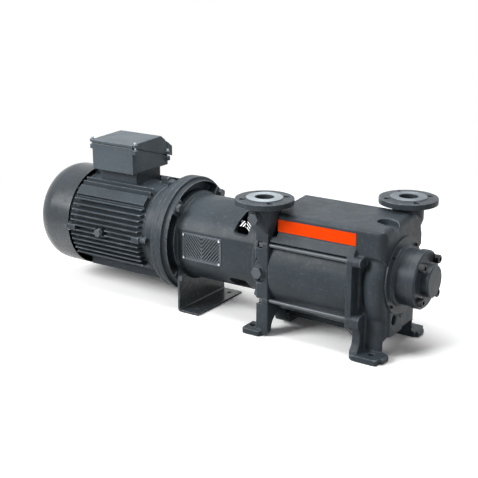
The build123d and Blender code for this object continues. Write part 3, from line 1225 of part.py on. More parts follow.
def motor_flange_shield():
    """Flange end shield: flange, spigot, cone and bearing hub."""
    bearing = motor_bearing_stations()[0]
    hub_r, rim = BEARING_R + 12.0, FRAME_END + 14.0
    fit_r, spigot = STATOR_R - SLIP_FIT, MOTOR_FACE + MOTOR_SPIGOT_HEIGHT
    solid = turned((FRAME_END, fit_r - 12.0), (FRAME_END - 6.0, fit_r - 12.0), (FRAME_END - 6.0, fit_r),
                   (FRAME_END, fit_r), (FRAME_END, FRAME_R), (rim, FRAME_R), (FLANGE_BACK - 14.0, SHIELD_R),
                   (FLANGE_BACK, SHIELD_R), (FLANGE_BACK, MOTOR_FLANGE_R), (MOTOR_FACE, MOTOR_FLANGE_R),
                   (MOTOR_FACE, MOTOR_SPIGOT_R), (spigot, MOTOR_SPIGOT_R), (spigot, MOTOR_SHAFT_R + 3.0),
                   (FLANGE_BACK, MOTOR_SHAFT_R + 3.0), (FLANGE_BACK, hub_r + 6.0), (rim, STATOR_R - 6.0))
    for i in range(GUSSET_COUNT):
        solid += flange_gusset(360.0 * (i + 0.5) / GUSSET_COUNT)
    solid += ring(hub_r, BEARING_R + SLIP_FIT, bearing, FLANGE_BACK)
    solid += ring(hub_r, BEARING_R - RING_THICKNESS, bearing + BEARING_WIDTH, FLANGE_BACK)
    for y, z in lug_points(LUG_BOLT_CIRCLE_R):
        solid += slab(Circle(LUG_WIDTH / 2), FRAME_END, rim, y, z)
        solid -= rod(LUG_BOLT_R + BOLT_CLEARANCE, FRAME_END - 1.0, FRAME_END + 40.0, y, z)
    for y, z in polar_points(MOTOR_FLANGE_PCD / 2, 4):
        solid -= rod(MOTOR_BOLT_R + BOLT_CLEARANCE, FLANGE_BACK - 1.0, MOTOR_FACE + 1.0, y, z)
    return solid


def flange_gusset(angle):
    """Triangular web between the shield's barrel and the back of its flange."""
    root_r, front, half = SHIELD_R - 5.0, FLANGE_BACK + 1.0, GUSSET_THICKNESS / 2
    web = polygon((front - GUSSET_REACH, root_r), (front, root_r), (front, MOTOR_FLANGE_R - 6.0))
    return Pos(0, 0, SHAFT_HEIGHT) * Rot(angle, 0, 0) * side_plate(web, -half, half)


def side_fins(x0, x1):
    """Horizontal cooling fins on the near side."""
    fins = []
    for i in range(SIDE_FIN_ROWS):
        rise = (i - (SIDE_FIN_ROWS - 1) / 2) * FIN_PITCH
        tip = math.sqrt(FIN_TIP_R ** 2 - rise ** 2)
        root = math.sqrt(FRAME_R ** 2 - rise ** 2) - 4.0
        z = SHAFT_HEIGHT + rise
        fins.append(block(x0, x1, -tip, -root, z - FIN_THICKNESS / 2, z + FIN_THICKNESS / 2))
    return fins


def lower_fins(x0, x1):
    """Vertical cooling fins under the frame."""
    fins = []
    for i in range(LOWER_FIN_COUNT):
        y = (i - (LOWER_FIN_COUNT - 1) / 2) * FIN_PITCH
        tip = math.sqrt(FIN_TIP_R ** 2 - y ** 2)
        root = math.sqrt(FRAME_R ** 2 - y ** 2) - 4.0
        fins.append(block(x0, x1, y - FIN_THICKNESS / 2, y + FIN_THICKNESS / 2,
                          SHAFT_HEIGHT - tip, SHAFT_HEIGHT - root))
    return fins


def top_fins(x0, x1):
    """Vertical cooling fins beside the terminal box plinth."""
    fins = []
    for y in TOP_FIN_PLACES:
        tip = math.sqrt(FIN_TIP_R ** 2 - y ** 2)
        root = math.sqrt(FRAME_R ** 2 - y ** 2) - 4.0
        fins.append(block(x0, x1, -y - FIN_THICKNESS / 2, -y + FIN_THICKNESS / 2, SHAFT_HEIGHT + root,
                          SHAFT_HEIGHT + tip))
    return fins


def motor_frame():
    """Finned motor frame with lugs, smooth pads and the terminal box plinth."""
    x0, x1 = FRAME_START, FRAME_END
    solid = rod(FRAME_R, x0, x1)
    for fin in side_fins(x0 + FIN_END_GAP, x1 - FIN_END_GAP) + top_fins(x0 + FIN_END_GAP, x1 - FIN_END_GAP):
        solid += both_sides(fin)
    for fin in lower_fins(x0 + FIN_END_GAP, x1 - FIN_END_GAP):
        solid += fin
    depth = FIN_TIP_R - FRAME_R + 6.0
    for angle in (45.0, 135.0):
        pad = Rot(0, 0, angle) * Pos(FIN_TIP_R - depth / 2, 0) * Rectangle(depth, PAD_WIDTH)
        solid += along_shaft(pad, x0 + FIN_END_GAP, x1 - FIN_END_GAP)
    plinth_x = x0 + BOX_START - 163.0
    solid += block(plinth_x, plinth_x + PLINTH_LENGTH, PLINTH_FRONT, PLINTH_BACK, SHAFT_HEIGHT, BOX_BOTTOM)
    boss_x = STATOR_MIDDLE - EARTH_BOSS_SHIFT
    solid -= crossbar(EARTH_BOSS_R + 7.0, -FRAME_R, -LUG_R, boss_x, SHAFT_HEIGHT)
    for y, z in lug_points((FRAME_R + LUG_R) / 2 - 2.0):
        lug = RectangleRounded(LUG_R - FRAME_R + 6.0, LUG_WIDTH, 3.0)
        if abs(y) < 1.0:
            lug = Rot(0, 0, 90) * lug
        solid += slab(lug, x1 - LUG_LENGTH, x1, y, z) + slab(lug, x0, x0 + LUG_LENGTH, y, z)
    solid += crossbar(EARTH_BOSS_R, -FRAME_R + 5.0, -LUG_R, boss_x, SHAFT_HEIGHT)
    solid -= rod(STATOR_R, x0 - 1.0, x1 + 1.0)
    for y, z in lug_points(LUG_BOLT_CIRCLE_R):
        solid -= rod(LUG_BOLT_R + THREAD_CLEARANCE, x1 - 22.0, x1 + 1.0, y, z)
    for y, z in polar_points(REAR_BOLT_CIRCLE_R, 4):
        solid -= rod(REAR_BOLT_R + THREAD_CLEARANCE, x0 - 1.0, x0 + 20.0, y, z)
    solid -= crossbar(EARTH_SCREW_R + THREAD_CLEARANCE, -LUG_R + 12.0, -LUG_R - 1.0, boss_x, SHAFT_HEIGHT)
    wire_x = plinth_x + PLINTH_LENGTH / 2
    return solid - post(20.0, SHAFT_HEIGHT + STATOR_R - 10.0, BOX_BOTTOM + 1.0, wire_x, 0.0)


def earth_screw():
    return cross_screw(EARTH_SCREW_R, 10.0, STATOR_MIDDLE - EARTH_BOSS_SHIFT, -LUG_R, SHAFT_HEIGHT, -1)


def rear_end_shield():
    """Rear end shield with the bearing hub."""
    bearing = motor_bearing_stations()[1]
    x0 = FRAME_START - REAR_SHIELD_THICKNESS
    solid = ring(FRAME_R, ROTOR_SHAFT_R, x0, FRAME_START)
    solid += ring(BEARING_R + 12.0, ROTOR_SHAFT_R, x0, bearing + BEARING_WIDTH)
    lug = polygon((FRAME_R - 4.0, -LUG_WIDTH / 2), (FRAME_R - 4.0, LUG_WIDTH / 2),
                  (COWL_R - COWL_SHEET - 1.0, LUG_WIDTH / 2), (COWL_R - COWL_SHEET - 1.0, -LUG_WIDTH / 2))
    for i in range(4):
        solid += along_shaft(Rot(0, 0, 90.0 * i) * lug, x0, FRAME_START)
    for side in (-1, 1):
        solid -= crossbar(COWL_SCREW_R + THREAD_CLEARANCE, side * (FRAME_R + 4.0), side * COWL_R,
                          COWL_START - 7.0, SHAFT_HEIGHT)
    for y, z in polar_points(REAR_BOLT_CIRCLE_R, 4):
        solid -= rod(REAR_BOLT_R + BOLT_CLEARANCE, x0 - 1.0, FRAME_START + 1.0, y, z)
    return solid - rod(BEARING_R + SLIP_FIT, bearing, bearing + BEARING_WIDTH + 1.0)


def end_shield_bolts():
    """Bolts of both end shields."""
    front = FRAME_END + 14.0
    rear = FRAME_START - REAR_SHIELD_THICKNESS
    bolts = [hex_screw(LUG_BOLT_R, 32.0, front, y, z, 1) for y, z in lug_points(LUG_BOLT_CIRCLE_R)]
    points = polar_points(REAR_BOLT_CIRCLE_R, 4)
    return bolts + [cap_screw(REAR_BOLT_R, 32.0, rear, y, z, -1) for y, z in points]


def stator_core():
    half = STATOR_LENGTH / 2
    return ring(STATOR_R - SLIP_FIT, STATOR_BORE_R, STATOR_MIDDLE - half, STATOR_MIDDLE + half)


def stator_windings():
    """End windings at both ends of the core."""
    half = STATOR_LENGTH / 2
    inner = STATOR_BORE_R + 6.0
    front = STATOR_MIDDLE + half
    rear = STATOR_MIDDLE - half
    return [turned((front, inner), (front, WINDING_R), (front + WINDING_OVERHANG - 10.0, WINDING_R),
                   (front + WINDING_OVERHANG, WINDING_R - 10.0), (front + WINDING_OVERHANG, inner)),
            turned((rear, inner), (rear, WINDING_R), (rear - WINDING_OVERHANG + 10.0, WINDING_R),
                   (rear - WINDING_OVERHANG, WINDING_R - 10.0), (rear - WINDING_OVERHANG, inner))]


def motor_shaft():
    """Motor shaft from the fan to the coupling."""
    front, rear = motor_bearing_stations()
    shaft_end = MOTOR_FACE + MOTOR_SHAFT_LENGTH
    fan_end = fan_start()
    solid = turned((fan_end, 0), (fan_end, BEARING_BORE_R - 3.0), (rear, BEARING_BORE_R - 3.0),
                   (rear, BEARING_BORE_R), (rear + BEARING_WIDTH, BEARING_BORE_R),
                   (rear + BEARING_WIDTH, ROTOR_SHAFT_R),
                   (front, ROTOR_SHAFT_R), (front, BEARING_BORE_R),
                   (front + BEARING_WIDTH, BEARING_BORE_R), (front + BEARING_WIDTH, MOTOR_SHAFT_R),
                   (shaft_end - 2.0, MOTOR_SHAFT_R), (shaft_end, MOTOR_SHAFT_R - 2.0), (shaft_end, 0))
    return solid - key_space(shaft_end - COUPLING_HUB_LENGTH + 6.0, MOTOR_SHAFT_R)


def motor_key():
    return key(MOTOR_FACE + MOTOR_SHAFT_LENGTH - COUPLING_HUB_LENGTH + 6.0, MOTOR_SHAFT_R)


def rotor_core():
    half = STATOR_LENGTH / 2
    outer = STATOR_BORE_R - AIR_GAP
    return ring(outer, ROTOR_SHAFT_R + SLIP_FIT, STATOR_MIDDLE - half, STATOR_MIDDLE + half)


def rotor_cage():
    """Short-circuit rings cast at both ends of the rotor."""
    half = STATOR_LENGTH / 2
    outer = STATOR_BORE_R - AIR_GAP - 2.0
    return [ring(outer, CAGE_RING_BORE_R, STATOR_MIDDLE + half, STATOR_MIDDLE + half + CAGE_RING_LENGTH),
            ring(outer, CAGE_RING_BORE_R, STATOR_MIDDLE - half - CAGE_RING_LENGTH, STATOR_MIDDLE - half)]


def fan_start():
    return FRAME_START - REAR_HUB_LENGTH - FAN_WIDTH


def motor_fan():
    """Radial fan on the rear shaft end."""
    x0 = fan_start()
    x1 = x0 + FAN_WIDTH
    solid = ring(FAN_HUB_R, BEARING_BORE_R - 3.0 + SLIP_FIT, x0, x1)
    solid += ring(FAN_R, FAN_HUB_R - 2.0, x1 - FAN_SHEET, x1)
    blade = Pos((FAN_R + FAN_HUB_R) / 2 - 2.0, 0) * Rectangle(FAN_R - FAN_HUB_R, FAN_SHEET)
    for i in range(FAN_BLADES):
        solid += along_shaft(Rot(0, 0, 360.0 * i / FAN_BLADES) * blade, x0, x1)
    return solid


def quarter_turn(x, flat_r, radius):
    """Arc from a cylinder's wall inwards to a flat disc."""
    c = math.cos(math.radians(45))
    return ThreePointArc((x, flat_r + radius), (x - radius * c, flat_r + radius * c), (x - radius, flat_r))


def fan_cowl():
    """Sheet cowl: a cylinder that rounds into the slotted inlet disc."""
    flat_r = COWL_R - COWL_EDGE_R
    bend_x = COWL_END + COWL_EDGE_R
    t = COWL_SHEET
    outer = Polyline((COWL_START, COWL_R - t), (COWL_START, COWL_R), (bend_x, COWL_R))
    disc = Polyline((COWL_END, flat_r), (COWL_END, 0), (COWL_END + t, 0), (COWL_END + t, flat_r))
    inner = Line((bend_x, COWL_R - t), (COWL_START, COWL_R - t))
    path = [outer, quarter_turn(bend_x, flat_r, COWL_EDGE_R), disc,
            quarter_turn(bend_x, flat_r, COWL_EDGE_R - t), inner]
    face = Plane(origin=(0, 0, SHAFT_HEIGHT), x_dir=(1, 0, 0), z_dir=(0, -1, 0)) * make_face(path)
    solid = revolve(face, axis=Axis((0, 0, SHAFT_HEIGHT), (1, 0, 0)))
    slot = Pos(flat_r * 0.6, 0) * SlotOverall(flat_r * 0.62, COWL_SLOT_WIDTH)
    for i in range(COWL_SLOTS):
        turn = Rot(0, 0, 360.0 * i / COWL_SLOTS)
        solid -= along_shaft(turn * slot, COWL_END - 1.0, COWL_END + t + 1.0)
    for side in (-1, 1):
        solid -= crossbar(COWL_SCREW_R + BOLT_CLEARANCE, side * (COWL_R - 10.0), side * (COWL_R + 1.0),
                          COWL_START - 7.0, SHAFT_HEIGHT)
    return solid


def cowl_screws():
    """Screws that hold the cowl to the rear shield's side lugs."""
    return [cross_screw(COWL_SCREW_R, 8.0, COWL_START - 7.0, side * COWL_R, SHAFT_HEIGHT, side)
            for side in (-1, 1)]


def box_stations():
    """Ends of the terminal box along the shaft."""
    x0 = FRAME_START + BOX_START - 163.0 - (BOX_LENGTH - PLINTH_LENGTH) / 2
    return x0, x0 + BOX_LENGTH


def parting(y):
    """Height of the slanted parting face of the terminal box at y."""
    slope = (BOX_FRONT_TOP - LID_PARTING_BACK) / (LID_BACK - BOX_FRONT)
    return BOX_FRONT_TOP - slope * (y - BOX_FRONT)


def lid_screw_places():
    """Corner lugs of the terminal box, beside its walls, as (x, y)."""
    x0, x1 = box_stations()
    reach = LID_LUG_R - 3.0
    return [(x, y) for x in (x0 - reach, x1 + reach) for y in (BOX_FRONT + LID_LUG_R, BOX_BACK - LID_LUG_R)]


def terminal_box():
    """Open box on the frame's plinth, with a slanted rim and screw lugs at its corners."""
    x0, x1 = box_stations()
    w = BOX_WALL
    outline = polygon((BOX_FRONT, BOX_BOTTOM), (BOX_FRONT, BOX_FRONT_TOP), (BOX_BACK, parting(BOX_BACK)),
                      (BOX_BACK, BOX_BOTTOM))
    solid = slab(outline, x0, x1)
    for x, y in lid_screw_places():
        solid += post(LID_LUG_R, parting(y) - 16.0, parting(y + LID_LUG_R), x, y)
        solid -= post(LID_SCREW_R + THREAD_CLEARANCE, parting(y) - 14.0, parting(y) + 10.0, x, y)
    solid -= block(x0 + w, x1 - w, BOX_FRONT + w, BOX_BACK - w, BOX_BOTTOM + w, BOX_FRONT_TOP + 20.0)
    solid -= post(20.0, BOX_BOTTOM - 1.0, BOX_BOTTOM + w + 1.0, (x0 + x1) / 2, 0.0)
    for y in entry_places():
        solid -= rod(ENTRY_R + THREAD_CLEARANCE, x0 - 1.0, x0 + w + 1.0, y, BOX_BOTTOM + ENTRY_HEIGHT)
    return solid


def entry_places():
    """Middles of the two cable entries along Y."""
    middle = (BOX_FRONT + BOX_BACK) / 2 - 25.0
    return [middle - ENTRY_PITCH / 2, middle + ENTRY_PITCH / 2]


def terminal_gasket():
    """Flat gasket on the slanted rim."""
    x0, x1 = box_stations()
    t, w = GASKET_THICKNESS, BOX_WALL
    outline = polygon((BOX_FRONT, BOX_FRONT_TOP), (BOX_BACK, parting(BOX_BACK)),
                      (BOX_BACK, parting(BOX_BACK) + t), (BOX_FRONT, BOX_FRONT_TOP + t))
    inside = block(x0 + w, x1 - w, BOX_FRONT + w, BOX_BACK - w, BOX_BOTTOM, LID_TOP + 20.0)
    return slab(outline, x0, x1) - inside


def terminal_lid():
    """Hollow lid with a high front lip, a ridge and a drooping back."""
    x0, x1 = box_stations()
    t, w = GASKET_THICKNESS, BOX_WALL
    front = BOX_FRONT - 4.0
    ridge_top = LID_TOP + LID_RISE
    outline = polygon((front, parting(front) + t), (front, LID_TOP), (LID_RIDGE_Y, ridge_top),
                      (LID_BACK, LID_BACK_TOP), (LID_BACK, parting(LID_BACK) + t))
    hollow = polygon((BOX_FRONT + w, BOX_BOTTOM), (BOX_FRONT + w, LID_TOP - w), (LID_RIDGE_Y, ridge_top - w),
                     (BOX_BACK - w, LID_BACK_TOP + 2.0), (BOX_BACK - w, BOX_BOTTOM))
    solid = slab(outline, x0 - 2.0, x1 + 2.0)
    for x, y in lid_screw_places():
        solid += post(LID_LUG_R, parting(y - LID_LUG_R) + t, parting(y) + 14.0, x, y)
    solid -= slab(hollow, x0 + w, x1 - w)
    for x, y in lid_screw_places():
        solid -= post(LID_SCREW_R + BOLT_CLEARANCE, parting(y) - 20.0, parting(y) + 14.0, x, y)
        solid -= post(LID_LUG_R - 2.0, parting(y) + 14.0, LID_TOP + 20.0, x, y)
    return solid


def lid_screws():
    """Cap screws in the corner lugs."""
    screws = []
    across = SOCKET_ACROSS_FLATS * LID_SCREW_R / 2
    socket = extrude(RegularPolygon(across, 6, major_radius=False), amount=LID_SCREW_R)
    for x, y in lid_screw_places():
        seat = parting(y) + 14.0
        head = post(CAP_HEAD_R * LID_SCREW_R, seat, seat + CAP_HEAD * LID_SCREW_R, x, y)
        head -= Pos(x, y, seat + LID_SCREW_R) * socket
        screws.append(head + post(LID_SCREW_R, seat - 24.0, seat, x, y))
    return screws


def terminal_board():
    """Insulating board with six studs."""
    x0, x1 = box_stations()
    x = (x0 + x1) / 2
    floor = BOX_BOTTOM + BOX_WALL
    top = floor + BOARD_THICKNESS
    solid = block(x - 38.0, x + 38.0, 24.0, 66.0, floor, top)
    for i in (-1, 0, 1):
        for j in (-1, 1):
            solid += post(STUD_R, top - 1.0, top + 14.0, x + i * 24.0, 45.0 + j * 10.0)
    return solid


def blanking_plugs():
    """Plugs in the two unused cable entries of the terminal box."""
    x0 = box_stations()[0]
    return [hex_screw(ENTRY_R, BOX_WALL + 2.0, x0, y, BOX_BOTTOM + ENTRY_HEIGHT, -1) for y in entry_places()]


def build():
    front_bearing, rear_bearing = motor_bearing_stations()
    pump_bearings = [DRIVE_BEARING_X, FREE_BEARING_X]
    motor_bearings = [front_bearing, rear_bearing]
    return {
        "drive_end_casing": drive_end_casing(),
        "free_end_casing": free_end_casing(),
        "central_body": central_body(),
        "drive_end_port_plate": port_plate(CHAMBER_START),
        "free_end_port_plate": port_plate(CHAMBER_END - PORT_PLATE_THICKNESS),
        "tie_rods": tie_rods(),
        "tie_rod_nuts": tie_rod_nuts(),
        "casing_plugs": casing_plugs(),
        "bare_plate": bare_plate(),
        "bearing_housing": bearing_housing(),
        "housing_screws": housing_screws(),
        "bearing_cover": bearing_cover(),
        "cover_screws": cover_screws(),
        "drive_bearing_cover": drive_bearing_cover(),
        "drive_cover_screws": drive_cover_screws(),
        "seal_seats": seal_seats(),
        "seal_rings": seal_rings(),
        "pump_outer_rings": [outer_ring(x) for x in pump_bearings],
        "pump_inner_rings": [inner_ring(x) for x in pump_bearings],
        "pump_ball_sets": [ball_set(x) for x in pump_bearings],
        "pump_shaft": pump_shaft(),
        "pump_keys": pump_keys(),
        "impeller": impeller(),
        "bearing_locknut": locknut(),
        "pump_coupling_hub": pump_coupling_hub(),
        "coupling_spider": coupling_spider(),
        "motor_coupling_hub": motor_coupling_hub(),
        "bell_housing": bell_housing(),
        "front_guard": coupling_guard(-1),
        "back_guard": coupling_guard(1),
        "guard_screws": guard_screws(),
        "bell_bolts": bell_bolts(),
        "flange_bolts": flange_bolts(),
        "flange_nuts": flange_nuts(),
        "support_bracket": support_bracket(),
        "motor_flange_shield": motor_flange_shield(),
        "motor_frame": motor_frame(),
        "rear_end_shield": rear_end_shield(),
        "end_shield_bolts": end_shield_bolts(),
        "earth_screw": earth_screw(),
        "stator_core": stator_core(),
        "stator_windings": stator_windings(),
        "motor_outer_rings": [outer_ring(x) for x in motor_bearings],
        "motor_inner_rings": [inner_ring(x) for x in motor_bearings],
        "motor_ball_sets": [ball_set(x) for x in motor_bearings],
        "motor_shaft": motor_shaft(),
        "motor_key": motor_key(),
        "rotor_core": rotor_core(),
        "rotor_cage": rotor_cage(),
        "motor_fan": motor_fan(),
        "fan_cowl": fan_cowl(),
        "cowl_screws": cowl_screws(),
        "terminal_box": terminal_box(),
        "terminal_gasket": terminal_gasket(),
        "terminal_lid": terminal_lid(),
        "lid_screws": lid_screws(),
        "terminal_board": terminal_board(),
        "blanking_plugs": blanking_plugs(),
    }


def save(pieces):
    """Write each sub-part to its own STEP file. A group of like pieces shares one file."""
    os.makedirs("parts", exist_ok=True)
    for name, shape in pieces.items():
        if isinstance(shape, list):
            shape = Compound(children=shape)
        export_step(shape, f"parts/{name}.step")


save(build())
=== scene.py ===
# Looks of the liquid ring vacuum pump with its flange motor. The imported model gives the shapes.
# Metres, floor at z = 0, shaft along X at z = 0.212, pump's free end at +X, camera side at -Y.
import math

import bmesh
import bpy
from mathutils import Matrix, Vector


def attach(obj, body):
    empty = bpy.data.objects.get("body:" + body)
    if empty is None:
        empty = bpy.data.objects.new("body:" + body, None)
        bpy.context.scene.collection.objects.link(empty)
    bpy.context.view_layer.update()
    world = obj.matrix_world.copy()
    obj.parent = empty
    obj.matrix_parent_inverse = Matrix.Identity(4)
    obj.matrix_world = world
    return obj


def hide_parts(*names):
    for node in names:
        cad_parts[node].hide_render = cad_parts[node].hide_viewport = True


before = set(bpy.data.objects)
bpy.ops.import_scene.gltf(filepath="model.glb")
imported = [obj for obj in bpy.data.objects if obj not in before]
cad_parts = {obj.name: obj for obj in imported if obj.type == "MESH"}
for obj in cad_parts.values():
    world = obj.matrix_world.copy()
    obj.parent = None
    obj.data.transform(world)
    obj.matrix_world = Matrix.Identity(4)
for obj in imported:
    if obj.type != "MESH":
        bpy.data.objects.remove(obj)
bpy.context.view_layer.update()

# Middle of the whole unit: the lamps point at it and the floor's shadow fades away from it
MIDDLE = (-0.32, 0.0, 0.22)
UNIT = "pump_unit"

# Connection flanges: middles, top, raised face and bore
DRIVE_FLANGE = (-0.1565, -0.113)
FREE_FLANGE = (0.1693, 0.113)
FLANGE_TOP = 0.401
RAISED_R = 0.051
MOUTH_R = 0.027
# The turned face stands this far over the CAD face, and its edges reach this far under it
FACE_LIFT = 0.0004
FACE_SHOULDER = 0.0006
FACE_ROOT = 0.0012
# Its grooves: plain margin inside and outside, floor's height, half width and pitch
MARGIN_IN = 0.003
MARGIN_OUT = 0.004
GROOVE_FLOOR = 0.0001
GROOVE_HALF = 0.0005
GROOVE_PITCH = 0.0022

# Perforated guards: middle in X and Z, outer face in Y, whole size and window
GUARD_MIDDLE = (-0.3695, 0.212)
GUARD_FACE = 0.119
GUARD_SIZE = (0.138, 0.082)
GUARD_WINDOW = (0.128, 0.072)
# The real bars stand closer: these are drawn as coarse as they need to be to show in the render
GUARD_BAR = 0.0036
GUARD_PITCH = 0.0096
GUARD_SHEET = 0.0016
GUARD_SEAT = 0.002
GUARD_LEAN = 40.0

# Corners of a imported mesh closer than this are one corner
WELD = 0.000002

# Edge masks run from open face to an edge that is worn and carries a painted highlight: cosine
# between the true and the softened normal, and Pointiness on rounded castings
FLAT_COSINE, EDGE_COSINE = 0.995, 0.86
FLAT_POINTINESS, EDGE_POINTINESS = 0.52, 0.565
BEVEL_SAMPLES = 6

# Grain of plated and bare metals: width in mm, depth in metres
PLATED_GRAIN = 1.2
PLATED_DEPTH = 0.00005

# Screw heads, as shares of the thread's radius
HEX_ACROSS_CORNERS = 1.72
WASHER_R = 1.62
WASHER_HEIGHT = 0.12
CAP_HEAD_R = 1.5
SOCKET_R = 0.9
KNURL_DEPTH = 0.035
# Their chamfers: top of the cutting cone as a share of the head's radius, and its slope
HEX_CROWN, HEX_SLOPE = 0.82, 1.7
CAP_CROWN, CAP_SLOPE = 0.88, 1.1
ROUND_SIDES, KNURL_SIDES, RIM_SIDES, SHANK_SIDES = 30, 48, 40, 18
HEAD_SHARP_ANGLE = 25.0

# Studio
FLOOR_REACH = 12.0
FLOOR_Z = -0.0006
FLOOR_SEEN = (1.25, 1.25, 1.25, 1.0)
FLOOR_BOUNCE = "#5E5E5E"
SHADOW_FULL, SHADOW_GONE = 0.85, 1.9
WHITE = (1.0, 1.0, 1.0, 1.0)
SKY_STRENGTH = 0.12
# Lamps: name, place, size in metres, watts
LAMPS = (
    ("key above left", (-2.1, -2.7, 2.1), 1.8, 160.0),
    ("broad top", (-0.3, 0.1, 3.0), 2.4, 95.0),
    ("weak right", (2.5, -1.3, 1.0), 1.2, 16.0),
)
EYE = (1.3280, -2.4484, 1.1457)
AIM = (-0.3172, 0.0, 0.2214)
LENS = 78.54
SENSOR = 36.0
CLIP_END = 60.0


def linear(colour):
    """An sRGB hex colour as the linear values that sockets take."""
    parts = [int(colour[i:i + 2], 16) / 255 for i in (1, 3, 5)]
    return [c / 12.92 if c <= 0.04045 else ((c + 0.055) / 1.055) ** 2.4 for c in parts] + [1.0]


def add(tree, kind, inputs=None, **settings):
    """Adds a node with its settings. An input is a value or the socket that feeds it."""
    node = tree.nodes.new(kind)
    for name, value in settings.items():
        setattr(node, name, value)
    for name, value in (inputs or {}).items():
        if isinstance(value, bpy.types.NodeSocket):
            tree.links.new(value, node.inputs[name])
        else:
            node.inputs[name].default_value = value
    return node


def start_material(name):
    material = bpy.data.materials.new(name)
    material.use_nodes = True
    material.node_tree.nodes.clear()
    return material, material.node_tree


def per_mm(size):
    """Texture scale for a pattern whose features are this many millimetres wide."""
    return 1000.0 / size


def noise(tree, where, size, detail=2.0, rough=0.5):
    inputs = {"Vector": where, "Scale": per_mm(size), "Detail": detail, "Roughness": rough}
    return add(tree, "ShaderNodeTexNoise", inputs).outputs["Fac"]


def maths(tree, operation, first, second=0.0):
    node = add(tree, "ShaderNodeMath", {0: first, 1: second}, operation=operation)
    return node.outputs["Value"]


def ramp(tree, value, low, high, start=0.0, end=1.0):
    """Maps value from low..high to start..end."""
    return add(tree, "ShaderNodeMapRange", {"Value": value, "From Min": low, "From Max": high,
                                            "To Min": start, "To Max": end}).outputs["Result"]


def mix(tree, factor, first, second):
    inputs = {"Fac": factor, "Color1": first, "Color2": second}
    return add(tree, "ShaderNodeMixRGB", inputs).outputs["Color"]


def edge_mask(tree, radius, curved=False):
    """1 on edges, which are worn and carry a painted highlight, and 0 on open faces, and the
    softened normal.
    curved is for rounded castings only."""
    soft = add(tree, "ShaderNodeBevel", {"Radius": radius}, samples=BEVEL_SAMPLES).outputs["Normal"]
    sharp = add(tree, "ShaderNodeNewGeometry").outputs["Normal"]
    dot = add(tree, "ShaderNodeVectorMath", operation="DOT_PRODUCT")
    tree.links.new(soft, dot.inputs[0])
    tree.links.new(sharp, dot.inputs[1])
    mask = ramp(tree, dot.outputs["Value"], FLAT_COSINE, EDGE_COSINE)
    if curved:
        pointiness = add(tree, "ShaderNodeNewGeometry").outputs["Pointiness"]
        bend = ramp(tree, pointiness, FLAT_POINTINESS, EDGE_POINTINESS)
        mask = maths(tree, "MAXIMUM", mask, bend)
    return mask, soft


def finish_material(tree, colour, roughness, normal, **extra):
    inputs = {"Base Color": colour, "Roughness": roughness, "Normal": normal}
    inputs.update({name.replace("_", " "): value for name, value in extra.items()})
    shader = add(tree, "ShaderNodeBsdfPrincipled", inputs)
    add(tree, "ShaderNodeOutputMaterial", {"Surface": shader.outputs["BSDF"]})


def bumped(tree, height, depth, normal=None):
    inputs = {"Height": height, "Distance": depth, "Strength": 1.0}
    if normal:
        inputs["Normal"] = normal
    return add(tree, "ShaderNodeBump", inputs).outputs["Normal"]


def enamel(name, base, dust_wear_and_highlight, grain, depth, gloss, edge=0.0022, curved=False, shine=0.15):
    """Sprayed anthracite enamel: cloudy, a little dusty, and lighter on its edges from wear and a
    painted highlight.
    grain and depth in mm are those of the surface under it."""
    material, tree = start_material(name)
    where = add(tree, "ShaderNodeTexCoord").outputs["Object"]
    worn_and_highlit, soft = edge_mask(tree, edge, curved)
    cloud = noise(tree, where, 90.0, 3.0)
    colour = mix(tree, ramp(tree, cloud, 0.35, 0.65), linear(base[0]), linear(base[1]))
    dust = ramp(tree, noise(tree, where, 9.0, 5.0, 0.65), 0.56, 0.8, 0.0, 0.16)
    colour = mix(tree, dust, colour, linear(dust_wear_and_highlight))
    patches = ramp(tree, noise(tree, where, 14.0, 4.0), 0.3, 0.62, 0.25, 0.8)
    # Edges paler: partly wear, partly a painted highlight of light catching them
    colour = mix(tree, maths(tree, "MULTIPLY", worn_and_highlit, patches), colour, linear(dust_wear_and_highlight))
    rough = ramp(tree, noise(tree, where, 30.0, 4.0), 0.3, 0.7, gloss - 0.05, gloss + 0.07)
    sand = noise(tree, where, grain, 4.0, 0.6)
    normal = bumped(tree, sand, depth * 0.001, soft)
    normal = bumped(tree, noise(tree, where, 26.0, 2.0), depth * 0.0022, normal)
    finish_material(tree, colour, rough, normal, Specular_IOR_Level=shine)
    return material


def turned_enamel(name, base, groove, centre):
    """Thin enamel over a turned sealing face: fine rings round the mouth catch the light."""
    material, tree = start_material(name)
    where = add(tree, "ShaderNodeTexCoord").outputs["Object"]
    placed = add(tree, "ShaderNodeMapping",
                 {"Vector": where, "Location": (-centre[0], -centre[1], 0.0)}).outputs["Vector"]
    inputs = {"Vector": placed, "Scale": per_mm(groove) / 20.0, "Distortion": 0.4, "Detail": 1.0}
    rings = add(tree, "ShaderNodeTexWave", inputs, wave_type="RINGS", rings_direction="Z",
                wave_profile="SAW").outputs["Fac"]
    colour = mix(tree, noise(tree, where, 20.0, 4.0), linear(base[0]), linear(base[1]))
    rough = ramp(tree, noise(tree, where, 8.0, 3.0), 0.3, 0.7, 0.34, 0.5)
    finish_material(tree, colour, rough, bumped(tree, rings, 0.00012), Metallic=0.25)
    return material


def plated(name, base, rough, metal=1.0):
    """Plated, oxidised, ground or cast metal: fine grain and cloudy tarnish, lighter on edges from
    wear and a painted highlight.
    """
    material, tree = start_material(name)
    where = add(tree, "ShaderNodeTexCoord").outputs["Object"]
    worn_and_highlit, soft = edge_mask(tree, 0.0008)
    cloud = noise(tree, where, 7.0, 4.0)
    colour = mix(tree, ramp(tree, cloud, 0.35, 0.7), linear(base[0]), linear(base[1]))
    # Third colour on the edges: wear and a painted highlight
    colour = mix(tree, ramp(tree, worn_and_highlit, 0.0, 1.0, 0.0, 0.5), colour, linear(base[2]))
    height = noise(tree, where, PLATED_GRAIN, 3.0)
    finish_material(tree, colour, ramp(tree, cloud, 0.3, 0.7, rough - 0.06, rough + 0.08),
                    bumped(tree, height, PLATED_DEPTH, soft), Metallic=metal)
    return material


